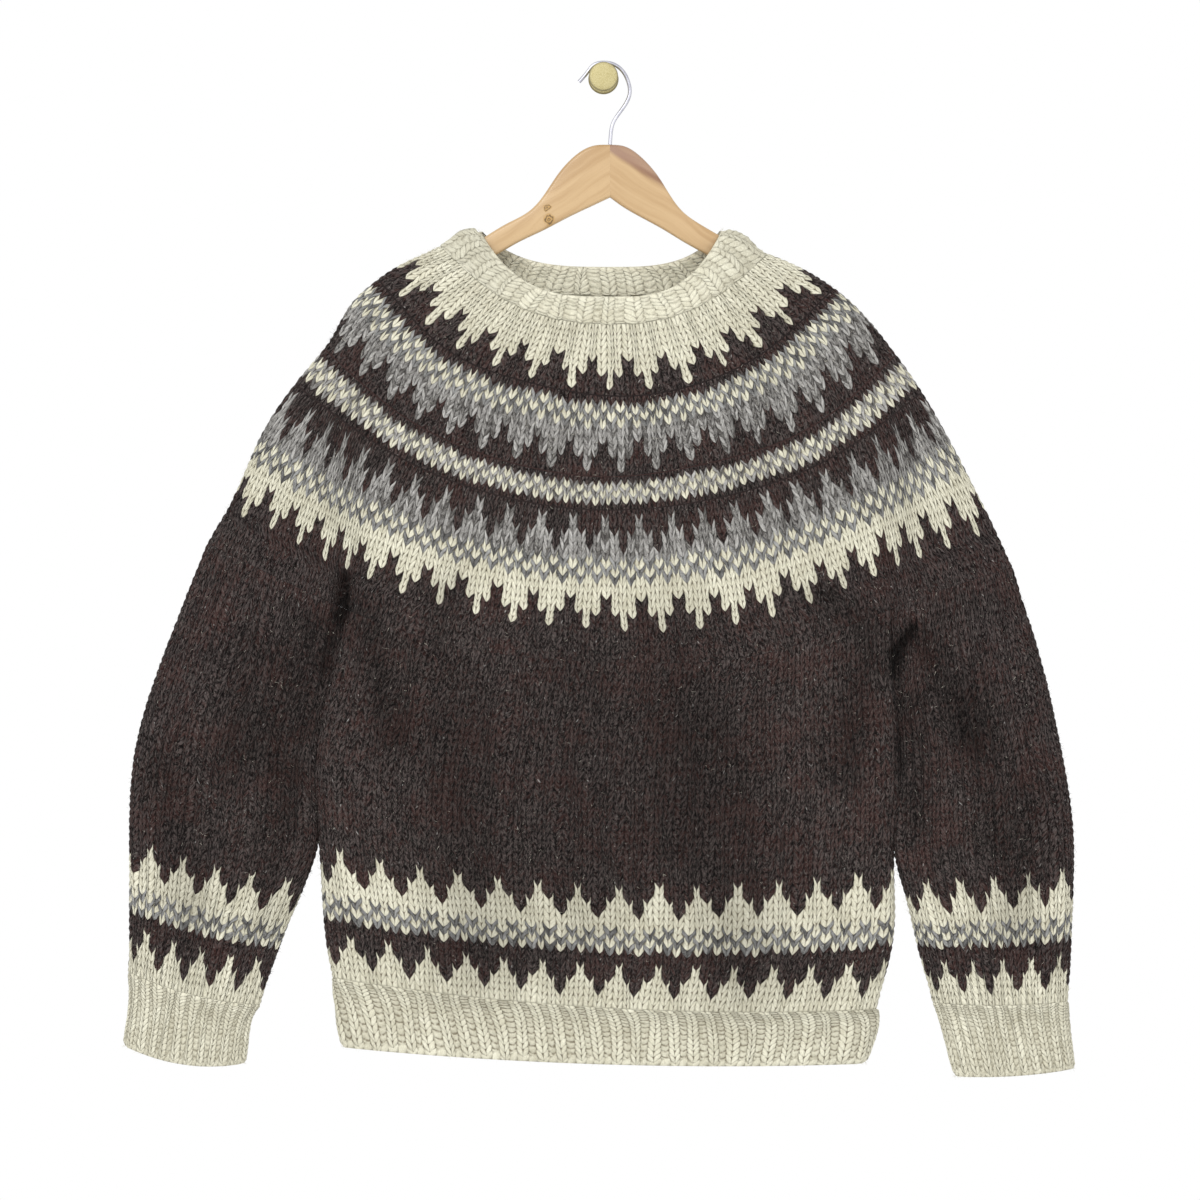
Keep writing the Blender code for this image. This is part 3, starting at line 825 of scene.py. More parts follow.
    def write_attributes(self, data: bpy.types.Mesh) -> None:
        """Writes what the wool's material reads, on the corners of each face.

        Args:
            data: The finished mesh.
        """
        faces = len(data.polygons)
        skin, total, start = (np.zeros(faces, int) for _ in range(3))
        data.attributes["skin"].data.foreach_get("value", skin)
        data.polygons.foreach_get("loop_total", total)
        data.polygons.foreach_get("loop_start", start)
        corners, spots = np.zeros(len(data.loops) * 2), np.zeros(faces * 3)
        data.uv_layers["knit"].data.foreach_get("uv", corners)
        data.polygons.foreach_get("center", spots)
        middle = np.add.reduceat(corners.reshape(-1, 2), start, axis=0) / total[:, None]
        x, _, z = spots.reshape(-1, 3).T / MM
        x = x - CENTRE_X
        yarn, tone = self.yarns(middle, skin)
        purl = skin == -1
        if self.stitch is Stitch.RIB:
            half = self.bands[0].stitches // 2
            odd = (np.floor(middle[:, 0]).astype(int) - half) % 2 == 1
            purl = (skin != 0) & (odd != (skin == -1))
        bind = self.free_bottom & (middle[:, 1] > self.last - self.BIND_ROWS) & (skin != 0)
        seam = (middle[:, 1] < self.first + self.SEAM_ROWS) | (middle[:, 1] > self.last - self.SEAM_ROWS)
        # Painted shade in the creases, darker where they dent deeper
        painted_shade = np.clip(dents(x, -z) / DARKEST_SHADE_DENT, 0, 1)
        # Painted shade towards the neckband's ends
        if self.free_top:
            shade_from, shade_to = NECK_SHADE_X
            painted_shade = np.maximum(painted_shade, NECK_SHADE * ease((np.abs(x) - shade_from) / (shade_to - shade_from)))
        parts = data.attributes.new("yarn", "FLOAT_COLOR", "CORNER")
        parts.data.foreach_set("color", np.repeat(np.c_[yarn, np.ones(faces)], total, axis=0).ravel())
        for name, values in (("tone", tone), ("purl", purl), ("bind", bind), ("painted_shade", painted_shade),
                             ("deep", np.full(faces, self.deep)), ("seam", seam)):
            corner_values = np.repeat(values.astype(float), total)
            data.attributes.new(name, "FLOAT", "CORNER").data.foreach_set("value", corner_values)

    def girth(self) -> float:
        """Longest ring of the piece, in metres."""
        return max(max(cloth.girths) for cloth in self.cloths) * MM

    def height(self) -> float:
        """Length of the piece down the front's middle, in metres."""
        line = np.concatenate([cloth.outer[:, Cloth.SAMPLES // 2] for cloth in self.cloths])
        return float(np.linalg.norm(np.diff(line, axis=0), axis=1).sum())


class Signal:
    """A shader socket that takes part in Python expressions."""

    def __init__(self, paint: Paint, socket: bpy.types.NodeSocket) -> None:
        """Wraps a socket of the paint's node tree."""
        self.paint, self.socket = paint, socket

    def __add__(self, other: Signal | float) -> Signal:
        """Sum."""
        return self.paint.math("ADD", self, other)

    def __radd__(self, other: float) -> Signal:
        """Sum, with the number first."""
        return self.paint.math("ADD", other, self)

    def __sub__(self, other: Signal | float) -> Signal:
        """Difference."""
        return self.paint.math("SUBTRACT", self, other)

    def __rsub__(self, other: float) -> Signal:
        """Difference, with the number first."""
        return self.paint.math("SUBTRACT", other, self)

    def __mul__(self, other: Signal | float) -> Signal:
        """Product."""
        return self.paint.math("MULTIPLY", self, other)

    def __rmul__(self, other: float) -> Signal:
        """Product, with the number first."""
        return self.paint.math("MULTIPLY", other, self)

    def __pow__(self, other: float) -> Signal:
        """Power."""
        return self.paint.math("POWER", self, other)


class Paint:
    """Builds one procedural material."""

    def __init__(self, name: str) -> None:
        """Starts a material with a Principled shader.

        Args:
            name: The material's name.
        """
        self.material = bpy.data.materials.new(name)
        self.material.use_nodes = True
        self.tree = self.material.node_tree
        self.shader = self.tree.nodes["Principled BSDF"]

    def node(self, kind: str, settings: dict | None = None, inputs: dict | None = None) -> bpy.types.Node:
        """Adds a node.

        Args:
            kind: Blender's name of the node's type.
            settings: Its own settings.
            inputs: Values or links of its sockets, by name or number.

        Returns:
            The node.
        """
        node = self.tree.nodes.new(kind)
        for key, value in (settings or {}).items():
            setattr(node, key, value)
        for key, value in (inputs or {}).items():
            self.feed(node.inputs[key], value)
        return node

    def feed(self, socket: bpy.types.NodeSocket, value: object) -> None:
        """Links a signal or a socket to this one, or sets its value."""
        if isinstance(value, Signal):
            value = value.socket
        if isinstance(value, bpy.types.NodeSocket):
            self.tree.links.new(value, socket)
        elif isinstance(value, tuple) and len(value) == 3 and socket.type == "RGBA":
            socket.default_value = (*value, 1.0)
        else:
            socket.default_value = value

    def math(self, operation: str, *values: object, clamp: bool = False) -> Signal:
        """A Math node on these values."""
        settings = {"operation": operation, "use_clamp": clamp}
        node = self.node("ShaderNodeMath", settings, dict(enumerate(values)))
        return Signal(self, node.outputs[0])

    def step(self, value: Signal, low: float, high: float) -> Signal:
        """A soft step of value from 0 at low to 1 at high."""
        node = self.node("ShaderNodeMapRange", {"interpolation_type": "SMOOTHSTEP"},
                         {"Value": value, "From Min": low, "From Max": high})
        return Signal(self, node.outputs["Result"])

    def mix(self, factor: object, one: object, two: object, blend: str = "MIX") -> bpy.types.NodeSocket:
        """One colour mixed with another."""
        settings = {"data_type": "RGBA", "blend_type": blend}
        node = self.node("ShaderNodeMix", settings, {0: factor, 6: one, 7: two})
        return node.outputs[2]

    def spot(self) -> bpy.types.NodeSocket:
        """The place on the object, in metres."""
        return self.node("ShaderNodeTexCoord").outputs["Object"]

    def attribute(self, name: str, output: str = "Fac") -> Signal:
        """An attribute of the mesh."""
        return Signal(self, self.node("ShaderNodeAttribute", {"attribute_name": name}).outputs[output])

    def parts(self, vector: object, kind: str = "ShaderNodeSeparateXYZ") -> list[Signal]:
        """The three numbers of a vector or colour."""
        node = self.node(kind, None, {0: vector})
        return [Signal(self, socket) for socket in node.outputs]

    def vector(self, *values: object) -> bpy.types.NodeSocket:
        """A vector of three values."""
        return self.node("ShaderNodeCombineXYZ", None, dict(enumerate(values))).outputs[0]

    def noise(self, vector: object, scale: float, detail: float = 2.0, roughness: float = 0.5) -> Signal:
        """A Noise texture's height."""
        node = self.node("ShaderNodeTexNoise", None,
                         {"Vector": vector, "Scale": scale, "Detail": detail, "Roughness": roughness})
        return Signal(self, node.outputs[0])

    def finish(self, colour: object, roughness: object, height: Signal, depth: float,
               **constants: float) -> bpy.types.Material:
        """Feeds the shader.

        Args:
            colour: Base colour.
            roughness: Roughness.
            height: Height of the bump.
            depth: What a height of 1 is, in metres.
            constants: Values of other sockets, with _ for each space in a name.

        Returns:
            The material.
        """
        self.feed(self.shader.inputs["Base Color"], colour)
        self.feed(self.shader.inputs["Roughness"], roughness)
        bump = self.node("ShaderNodeBump", None, {"Strength": 1.0, "Distance": depth, "Height": height})
        self.feed(self.shader.inputs["Normal"], bump.outputs[0])
        for name, value in constants.items():
            self.feed(self.shader.inputs[name.replace("_", " ")], value)
        return self.material


@dataclass(frozen=True)
class WoolFinish:
    """Undyed wool in four natural shades, knitted. Lengths are in stitches and rows."""

    name: str
    cream: tuple = linear(234, 231, 211)
    cream_shade: tuple = linear(190, 185, 163)
    # Painted shade in the gaps round cream legs
    cream_gap_shade: tuple = linear(110, 101, 82)
    grey: tuple = linear(186, 184, 180)
    grey_shade: tuple = linear(78, 75, 72)
    mid: tuple = linear(160, 160, 158)
    mid_shade: tuple = linear(80, 79, 78)
    # Painted shade in the gaps round grey legs
    grey_gap_shade: tuple = linear(52, 49, 48)
    dark: tuple = linear(82, 73, 71)
    dark_shade: tuple = linear(22, 16, 16)
    # Painted shade in the gaps round dark legs
    dark_gap_shade: tuple = linear(10, 8, 8)
    pale_hair: tuple = linear(116, 115, 109)
    red_hair: tuple = linear(70, 45, 41)
    # Colour that multiplies the wool where shade is painted into creases and the neckband's ends
    painted_shade_colour: tuple = linear(120, 118, 116)
    grey_gap_share: float = 0.72
    dark_gap_share: float = 0.75
    speck_share: float = 0.5
    roughness: float = 0.92
    depth: float = 0.0016
    sheen: float = 0.04
    specular: float = 0.05

    # x from u and v, y from u and v, z from tone, z, detail, roughness
    NOISES = {
        "streak": (15.0, 3.0, 0.0, 5.0, 3.0, 0.0, 2.5, 0.65),
        "clump": (1.7, 0.0, 0.0, 1.7, 0.5, 2.0, 2.0, 0.6),
        "cloud": (0.22, 0.0, 0.0, 0.22, 0.0, 3.7, 3.0, 0.6),
        "hair": (8.0, 4.0, -3.0, 7.0, 0.0, 9.1, 1.5, 0.5),
        "strand": (7.5, 1.0, 0.0, 2.4, 0.0, 4.4, 1.5, 0.6),
        "fleck": (3.7, 0.0, 0.0, 2.9, 0.0, 5.3, 0.0, 0.5),
        "wander": (1.3, 0.0, 0.0, 1.3, 0.0, 1.3, 1.0, 0.5),
        "broken": (2.6, 0.0, 0.0, 1.3, 0.0, 6.1, 1.0, 0.5),
    }

    # A leg's rounded cell: what square, fourth power and product of leg and row count for, and its edge,
    # where painted gap shade begins
    LEG_POWERS, ROW_POWERS, LEG_BY_ROW = (0.5, 0.65), (0.35, 0.45), 0.5
    LEG_EDGE, LEG_FALL = (0.5, 1.45), 0.6
    # A purl bar: its bend, its unevenness, its edge, the painted shade in the gaps above and beside it, and
    # how its sides fall
    BAR_BEND, BAR_WANDER, BAR_EDGE, BAR_BROKEN = 0.22, 0.6, (0.0, 0.8), (0.3, 0.62)
    BAR_GAP, BAR_LEAST_GAP, BAR_SIDE, BAR_SIDE_GAP, BAR_DEEP_GAP = 0.7, 0.1, (0.5, 1.0), 0.34, 0.15
    BAR_HEIGHT, BAR_FALL = 0.6, 0.5
    # A bound-off stitch: its roundness, its edge, the painted shade in its gaps, and how it falls
    BOUND_ROUND, BOUND_EDGE, BOUND_GAP, BOUND_FALL = 0.9, (0.35, 1.7), 0.6, 0.6
    SEAM_HIDES = 0.6  # share of the painted gap shade that is left out in a piece's end rows
    # The yarn's twist: turns in a row, turns across a leg, and height
    PLY_ROWS, PLY_ACROSS, PLY_HEIGHT = 1.5, 0.6, 0.05

    def noises(self, paint: Paint, u: Signal, v: Signal, tone: Signal) -> list[Signal]:
        """The wool's noises, in the order of their table."""
        made = []
        for x_u, x_v, y_u, y_v, z_tone, z, detail, roughness in self.NOISES.values():
            place = paint.vector(u * x_u + v * x_v, u * y_u + v * y_v, tone * z_tone + z)
            made.append(paint.noise(place, 1.0, detail, roughness))
        return made

    def cells(self, paint: Paint, u: Signal, v: Signal, wander: Signal,
              broken: Signal) -> tuple[Signal, Signal, Signal]:
        """The form of legs, purl bars and bound-off stitches.

        Args:
            paint: The material.
            u: Place round the ring, in stitches.
            v: Place down the piece, in rows.
            wander: Noise that makes purl bars uneven.
            broken: Noise that breaks up the painted shade in the gaps between them.

        Returns:
            How much shade is painted in the gaps, the height, and the place across a leg.
        """
        purl, bind, seam, deep = (paint.attribute(name) for name in ("purl", "bind", "seam", "deep"))
        row, across = (paint.math("FRACT", place) * 2.0 - 1.0 for place in (v, u))
        beside = paint.math("ABSOLUTE", across)
        leg = 1.0 - beside * 2.0
        (leg_2, leg_4), (row_2, row_4) = self.LEG_POWERS, self.ROW_POWERS
        far = leg**2.0 * leg_2 + leg**4.0 * leg_4 + row**2.0 * row_2 + row**4.0 * row_4
        far = far - leg * row * self.LEG_BY_ROW
        knit_gap_shade, knit_height = paint.step(far, *self.LEG_EDGE), 1.0 - far * self.LEG_FALL

        swing = (v + beside**2.0 * self.BAR_BEND + wander * self.BAR_WANDER) * math.pi
        bar = paint.math("ABSOLUTE", paint.math("SINE", swing))
        uneven = paint.step(broken, *self.BAR_BROKEN) * self.BAR_GAP + self.BAR_LEAST_GAP
        aside = paint.step(beside, *self.BAR_SIDE) * self.BAR_SIDE_GAP + deep * self.BAR_DEEP_GAP
        purl_gap_shade = paint.math("ADD", (1.0 - paint.step(bar, *self.BAR_EDGE)) * uneven, aside, clamp=True)
        purl_height = bar * self.BAR_HEIGHT - beside**2.0 * self.BAR_FALL

        far = (across**2.0 + row**2.0 + across * row) * self.BOUND_ROUND
        gap = (knit_gap_shade + purl * (purl_gap_shade - knit_gap_shade)) * (1.0 - seam * self.SEAM_HIDES)
        height = knit_height + purl * (purl_height - knit_height)
        gap = gap + bind * (paint.step(far, *self.BOUND_EDGE) * self.BOUND_GAP - gap)
        height = height + bind * (1.0 - far * self.BOUND_FALL - height)
        return gap, height, leg

    def make(self) -> bpy.types.Material:
        """The material: yarn by stitch, mottled fibres, painted shade in the gaps round each leg, and all of
        it as bump; creases and the neckband's ends get painted shade too.
        """
        paint = Paint(self.name)
        u, v, _ = paint.parts(paint.node("ShaderNodeUVMap", {"uv_map": "knit"}).outputs[0])
        cream, grey, mid = paint.parts(paint.attribute("yarn", "Color"), "ShaderNodeSeparateColor")[:3]
        tone, painted_shade, deep = (paint.attribute(name) for name in ("tone", "painted_shade", "deep"))
        streak, clump, cloud, hair, strand, fleck, wander, broken = self.noises(paint, u, v, tone)
        gap, height, leg = self.cells(paint, u, v, wander, broken)
        fibre = paint.math("ADD", streak * 2.6 - 0.85, tone * 0.22, clamp=True)
        mottle = paint.math("ADD", streak * 1.8 + clump * 1.4 - 1.15, tone * 0.36, clamp=True)
        strands = paint.math("ADD", streak * 1.2 + strand * 4.4 - 2.4, tone * 0.16, clamp=True)
        soft = paint.math("ADD", fibre * 0.75, cloud * 1.2 - 0.4, clamp=True)

        dark = paint.mix(strands, self.dark_shade, self.dark)
        for mask, low, high, shade in ((clump * 0.5 + cloud * 0.5, 0.46, 0.6, self.red_hair),
                                       (hair, 0.54, 0.72, self.pale_hair), (fleck, 0.82, 0.86, self.grey)):
            dark = paint.mix(paint.step(mask, low, high) * self.speck_share, dark, shade)
        # Painted shade in the gaps round each leg of dark wool
        colour = paint.mix(gap * self.dark_gap_share, dark, self.dark_gap_shade)
        # Each lighter yarn, with painted shade in the gaps round its legs
        for share, look, shade, pale, gaps, between in (
                (mid, mottle, self.mid_shade, self.mid, gap * self.grey_gap_share, self.grey_gap_shade),
                (grey, mottle, self.grey_shade, self.grey, gap * self.grey_gap_share, self.grey_gap_shade),
                (cream, soft, self.cream_shade, self.cream, gap * (deep * 0.36 + 0.56), self.cream_gap_shade)):
            colour = paint.mix(share, colour, paint.mix(gaps, paint.mix(look, shade, pale), between))
        # Painted shade in the creases and at the neckband's ends
        colour = paint.mix(painted_shade, colour, self.painted_shade_colour, "MULTIPLY")
        ply = paint.math("SINE", (v * self.PLY_ROWS + leg * self.PLY_ACROSS) * (2 * math.pi))
        height = height + ply * self.PLY_HEIGHT + streak * 0.35 + hair * 0.2
        return paint.finish(colour, self.roughness, height, self.depth, Sheen_Weight=self.sheen,
                            Sheen_Roughness=0.5, Specular_IOR_Level=self.specular)


@dataclass(frozen=True)
class HairFinish:
    """Loose fibres that stand off the wool."""

    name: str
    light: tuple
    dark: tuple

    def make(self) -> bpy.types.Material:
        """The material: one soft mix of two shades."""
        paint = Paint(self.name)
        cloud = paint.noise(paint.spot(), 900.0, 1.0)
        colour = paint.mix(cloud, self.light, self.dark)
        return paint.finish(colour, 0.85, cloud, 0.00002, Specular_IOR_Level=0.1)


@dataclass(frozen=True)
class WoodFinish:
    """Pale varnished wood with grain along the arm, and a few knots or a darker figure.

    Attributes:
        name: The material's name.
        slope: Angle of the grain.
        knots: x, z and size of each knot, in metres.
        figure: x and z of the figure's lower edge, in metres, and its slope.
    """

    name: str
    slope: float
    knots: tuple = ()
    figure: tuple | None = None
    early: tuple = linear(190, 160, 118)
    late: tuple = linear(170, 137, 94)
    pore: tuple = linear(150, 114, 74)
    stain: tuple = linear(132, 98, 90)
    stain_edge: tuple = linear(112, 68, 42)
    knot: tuple = linear(166, 126, 56)
    knot_ring: tuple = linear(84, 62, 30)
    varnish: float = 0.35

    def make(self) -> bpy.types.Material:
        """The material: long grain, fine pores, knots and a darker figure."""
        paint = Paint(self.name)
        spot = paint.spot()
        px, _, pz = paint.parts(spot)
        grain = paint.node("ShaderNodeMapping", None, {"Vector": spot, "Rotation": (0.0, self.slope, 0.0)})
        x, y, z = paint.parts(grain.outputs[0])
        bend = paint.noise(grain.outputs[0], 14.0, 2.0)
        wave = paint.noise(paint.vector(x * 5.0, y * 60.0, z * 90.0 + bend * 2.0), 1.0, 3.0, 0.6)
        pores = paint.noise(paint.vector(x * 90.0, y * 900.0, z * 1400.0), 1.0, 2.0, 0.6)
        colour = paint.mix(paint.step(wave, 0.35, 0.68), self.early, self.late)
        colour = paint.mix(paint.step(pores, 0.58, 0.72) * 0.2, colour, self.pore)
        if self.figure:
            at_x, at_z, fall = self.figure
            above = pz - at_z + (px - at_x) * fall + (wave - 0.5) * 0.006
            colour = paint.mix(paint.step(above, -0.001, 0.005) * (wave * 0.5 + 0.36), colour, self.stain)
            edge = paint.step(above, -0.003, 0.002) * (1.0 - paint.step(above, 0.003, 0.008))
            colour = paint.mix(edge * paint.step(px, at_x, at_x + 0.04) * 0.7, colour, self.stain_edge)
        for at_x, at_z, size in self.knots:
            ragged = paint.noise(spot, 330.0, 1.0)
            far = paint.math("SQRT", (px - at_x) ** 2.0 + (pz - at_z) ** 2.0) + (ragged - 0.5) * 0.0045
            ring = paint.math("SINE", far * (9.4 / size))
            halo = 1.0 - paint.step(far, size * 0.9, size * 1.5)
            colour = paint.mix(halo * 0.75, colour, self.knot)
            colour = paint.mix(halo * paint.step(ring, 0.0, 0.6) * 0.85, colour, self.knot_ring)
        return paint.finish(colour, 0.34 + pores * 0.12, pores * 0.5 + wave * 0.5, 0.00012,
                            Coat_Weight=self.varnish, Coat_Roughness=0.2)


@dataclass(frozen=True)
class SteelFinish:
    """Bright drawn wire with fine lines and a few dull spots."""

    name: str
    bright: tuple = linear(196, 196, 204)
    dull: tuple = linear(172, 172, 181)

    def make(self) -> bpy.types.Material:
        """The material: two shades of steel under fine marks."""
        paint = Paint(self.name)
        marks = paint.noise(paint.spot(), 420.0, 3.0, 0.6)
        cloud = paint.noise(paint.spot(), 60.0, 2.0, 0.5)
        colour = paint.mix(paint.step(cloud, 0.4, 0.7), self.bright, self.dull)
        return paint.finish(colour, 0.28 + marks * 0.2, marks, 0.00008, Metallic=1.0)


@dataclass(frozen=True)
class BrassFinish:
    """Aged brass, cast and mottled."""

    name: str
    pale: tuple = linear(194, 184, 140)
    speck: tuple = linear(170, 158, 108)
    cloudy: tuple = linear(160, 148, 96)
    rim: tuple = linear(92, 82, 52)
    rim_radius: tuple = (0.0122, 0.0131)

    def make(self) -> bpy.types.Material:
        """The material: a pale yellow face with darker specks, darker at the rim."""
        paint = Paint(self.name)
        spot = paint.spot()
        specks = paint.noise(spot, 1500.0, 2.0, 0.6)
        cloud = paint.noise(spot, 160.0, 2.0, 0.5)
        x, _, z = paint.parts(spot)
        far = paint.math("SQRT", x**2.0 + z**2.0)
        colour = paint.mix(paint.step(specks, 0.4, 0.62), self.pale, self.speck)
        colour = paint.mix(paint.step(cloud, 0.5, 0.75) * 0.3, colour, self.cloudy)
        colour = paint.mix(paint.step(far, *self.rim_radius) * 0.7, colour, self.rim)
        return paint.finish(colour, 0.5 + specks * 0.2, specks, 0.00008, Metallic=0.35)


def put(name: str, data: bpy.types.ID) -> bpy.types.Object:
    """Adds an object with this data to the scene."""
    thing = bpy.data.objects.new(name, data)
    bpy.context.scene.collection.objects.link(thing)
    return thing


def finish_mesh(name: str, mesh: bmesh.types.BMesh, sharp: float = 45.0) -> bpy.types.Object:
    """Turns a bmesh into an object of the scene, smooth but for edges sharper than the angle.

    Args:
        name: The object's name.
        mesh: Its bmesh, which is freed.
        sharp: Degrees.

    Returns:
        The object.
    """
    data = bpy.data.meshes.new(name)
    mesh.to_mesh(data)
    mesh.free()
    data.shade_smooth()
    data.set_sharp_from_angle(angle=math.radians(sharp))
    return put(name, data)


def dress(thing: bpy.types.Object, material: bpy.types.Material, slot: str, *nodes: str) -> None:
    """Gives a piece its material and its body, and hides the solids that it stands for."""
    thing.data.materials.clear()
    thing.data.materials.append(material)
    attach(thing, "root")
    if nodes:
        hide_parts(*nodes)


def smoothed(places: Sequence, steps: int) -> np.ndarray:
    """A smooth line through places, with this many points from each one to the next."""
    places = np.array(places, float)
    along = np.concatenate([[0], np.cumsum(np.linalg.norm(np.diff(places, axis=0), axis=1))])
    at = np.concatenate([np.linspace(a, b, steps, endpoint=False) for a, b in zip(along, along[1:])])
    return smooth(along, places, np.append(at, along[-1]))


@dataclass
class Hairs:
    """Loose fibres on the outer side of the knitted pieces, as two joined meshes, pale and dark.

    Attributes:
        count: Hairs that are tried.
        seed: Picks the same hairs every time.
        length: Shortest and longest hair, in millimetres.
        root: Radius at the root, in millimetres.
        root_range: Thinnest and thickest root, as a share of root.
        pale_on_dark: Share of pale hairs on dark wool.
        near_folds: How much more hairs are kept where the cloth turns away from the viewer.
        on_edge: Share of hairs moved to a piece's open edge.
        stand: Least and most that a hair stands up, before its chance direction is added.
        spread: Size of the chance direction.
        least_out: Least that a hair points outwards.
    """

    count: int = 76000
    seed: int = 5
    length: tuple[float, float] = (1.5, 5.0)
    root: float = 0.11
    root_range: tuple[float, float] = (0.6, 1.3)
    pale_on_dark: float = 0.14
    near_folds: float = 2.5
    on_edge: float = 0.3
    stand: tuple[float, float] = (0.15, 0.9)
    spread: float = 0.75
    least_out: float = 0.12

    # name, slot, finish
    PALE = ("loose_hairs_pale", "cream_wool",
            HairFinish("hair_pale", linear(226, 222, 206), linear(176, 170, 156)))
    DARK = ("loose_hairs_dark", "dark_wool", HairFinish("hair_dark", linear(52, 42, 40), linear(28, 22, 22)))

    def grow(self, piece: KnitPiece, count: int,
             chance: np.random.Generator) -> tuple[np.ndarray, np.ndarray]:
        """Hairs of one piece.

        Args:
            piece: A built piece.
            count: How many hairs.
            chance: Source of chance numbers.

        Returns:
            Frames of the hairs, each as root, direction and two sides in metres, and whether each is pale.
        """
        frames, pale = [], []
        rows = piece.last - piece.first
        for band, cloth in zip(piece.bands, piece.cloths):
            share = int(count * (band.last - band.first) / rows)
            turn, row = chance.uniform(-0.5, 0.5, share), chance.uniform(band.first, band.last, share)
            if piece.free_bottom or piece.free_top:
                edge = band.last if piece.free_bottom else band.first
                row = np.where(chance.uniform(0, 1, share) < self.on_edge, edge, row)
            foot = cloth.place(turn, row, np.zeros(share))
            normal = (cloth.place(turn, row, np.ones(share)) - foot) / MM
            weight = 1 + self.near_folds * (1 - np.abs(normal[:, 1]))
            kept = chance.uniform(0, 1 + self.near_folds, share) < weight
            turn, row, foot, normal = turn[kept], row[kept], foot[kept], normal[kept]
            share = len(turn)
            way = normal * chance.uniform(*self.stand, (share, 1)) + chance.normal(0, self.spread, (share, 3))
            way += normal * np.maximum(0, self.least_out - np.sum(way * normal, axis=1))[:, None]
            way /= np.linalg.norm(way, axis=1, keepdims=True)
            side = np.cross(way, normal + (0.0, 0.0, 0.01))
            side /= np.maximum(np.linalg.norm(side, axis=1, keepdims=True), NOUGHT)
            size = self.root * MM * chance.uniform(*self.root_range, (share, 1))
            length = chance.uniform(*self.length, (share, 1)) * MM
            frames.append(np.stack([foot, way * length, side * size, np.cross(way, side) * size], axis=1))
            stitch = np.floor(turn * band.stitches + band.centre(cloth)).astype(int)
            light = band.yarn(stitch, np.floor(row).astype(int)).sum(axis=1) > 0.5
            pale.append(light | (chance.uniform(0, 1, share) < self.pale_on_dark))
        return np.concatenate(frames), np.concatenate(pale)

    def build(self, pieces: list[KnitPiece]) -> None:
        """Grows the hairs in proportion to the pieces' sizes and dresses them."""
        chance = np.random.default_rng(self.seed)
        areas = np.array([piece.girth() * piece.height() for piece in pieces])
        grown = [self.grow(piece, int(self.count * area / areas.sum()), chance)
                 for piece, area in zip(pieces, areas)]
        frames, pale = (np.concatenate(part) for part in zip(*grown))
        shape = bmesh.new()
        bmesh.ops.create_cone(shape, cap_ends=True, segments=3, radius1=1.0, radius2=0.0, depth=1.0,
                              matrix=Matrix.Translation((0, 0, 0.5)))
        bmesh.ops.remove_doubles(shape, verts=shape.verts, dist=1e-4)
        bmesh.ops.recalc_face_normals(shape, faces=shape.faces)
        corners = np.array([vert.co for vert in shape.verts])
        faces = [[vert.index for vert in face.verts] for face in shape.faces]
        shape.free()
        for (name, slot, finish), chosen in ((self.PALE, pale), (self.DARK, ~pale)):
            foot, way, one, two = np.moveaxis(frames[chosen], 1, 0)[:, :, None]
            places = foot + way * corners[:, 2:3] + one * corners[:, 0:1] + two * corners[:, 1:2]
            steps = (np.arange(len(places)) * len(corners)).tolist()
            data = bpy.data.meshes.new(name)
            data.from_pydata(places.reshape(-1, 3), [], [[at + corner for corner in face] for at in steps
                                                         for face in faces])
            dress(put(name, data), finish.make(), slot)
            log.info("%s: %d hairs, %d faces", name, len(places), len(data.polygons))


def row_reader(marks: Sequence[tuple[float, float]]) -> Callable[[float], float]:
    """Turns rows of stitches into a shape's own rows, by straight lines between marks of both."""
    rows, shares = zip(*marks)
    return lambda row: float(np.interp(row, rows, shares))


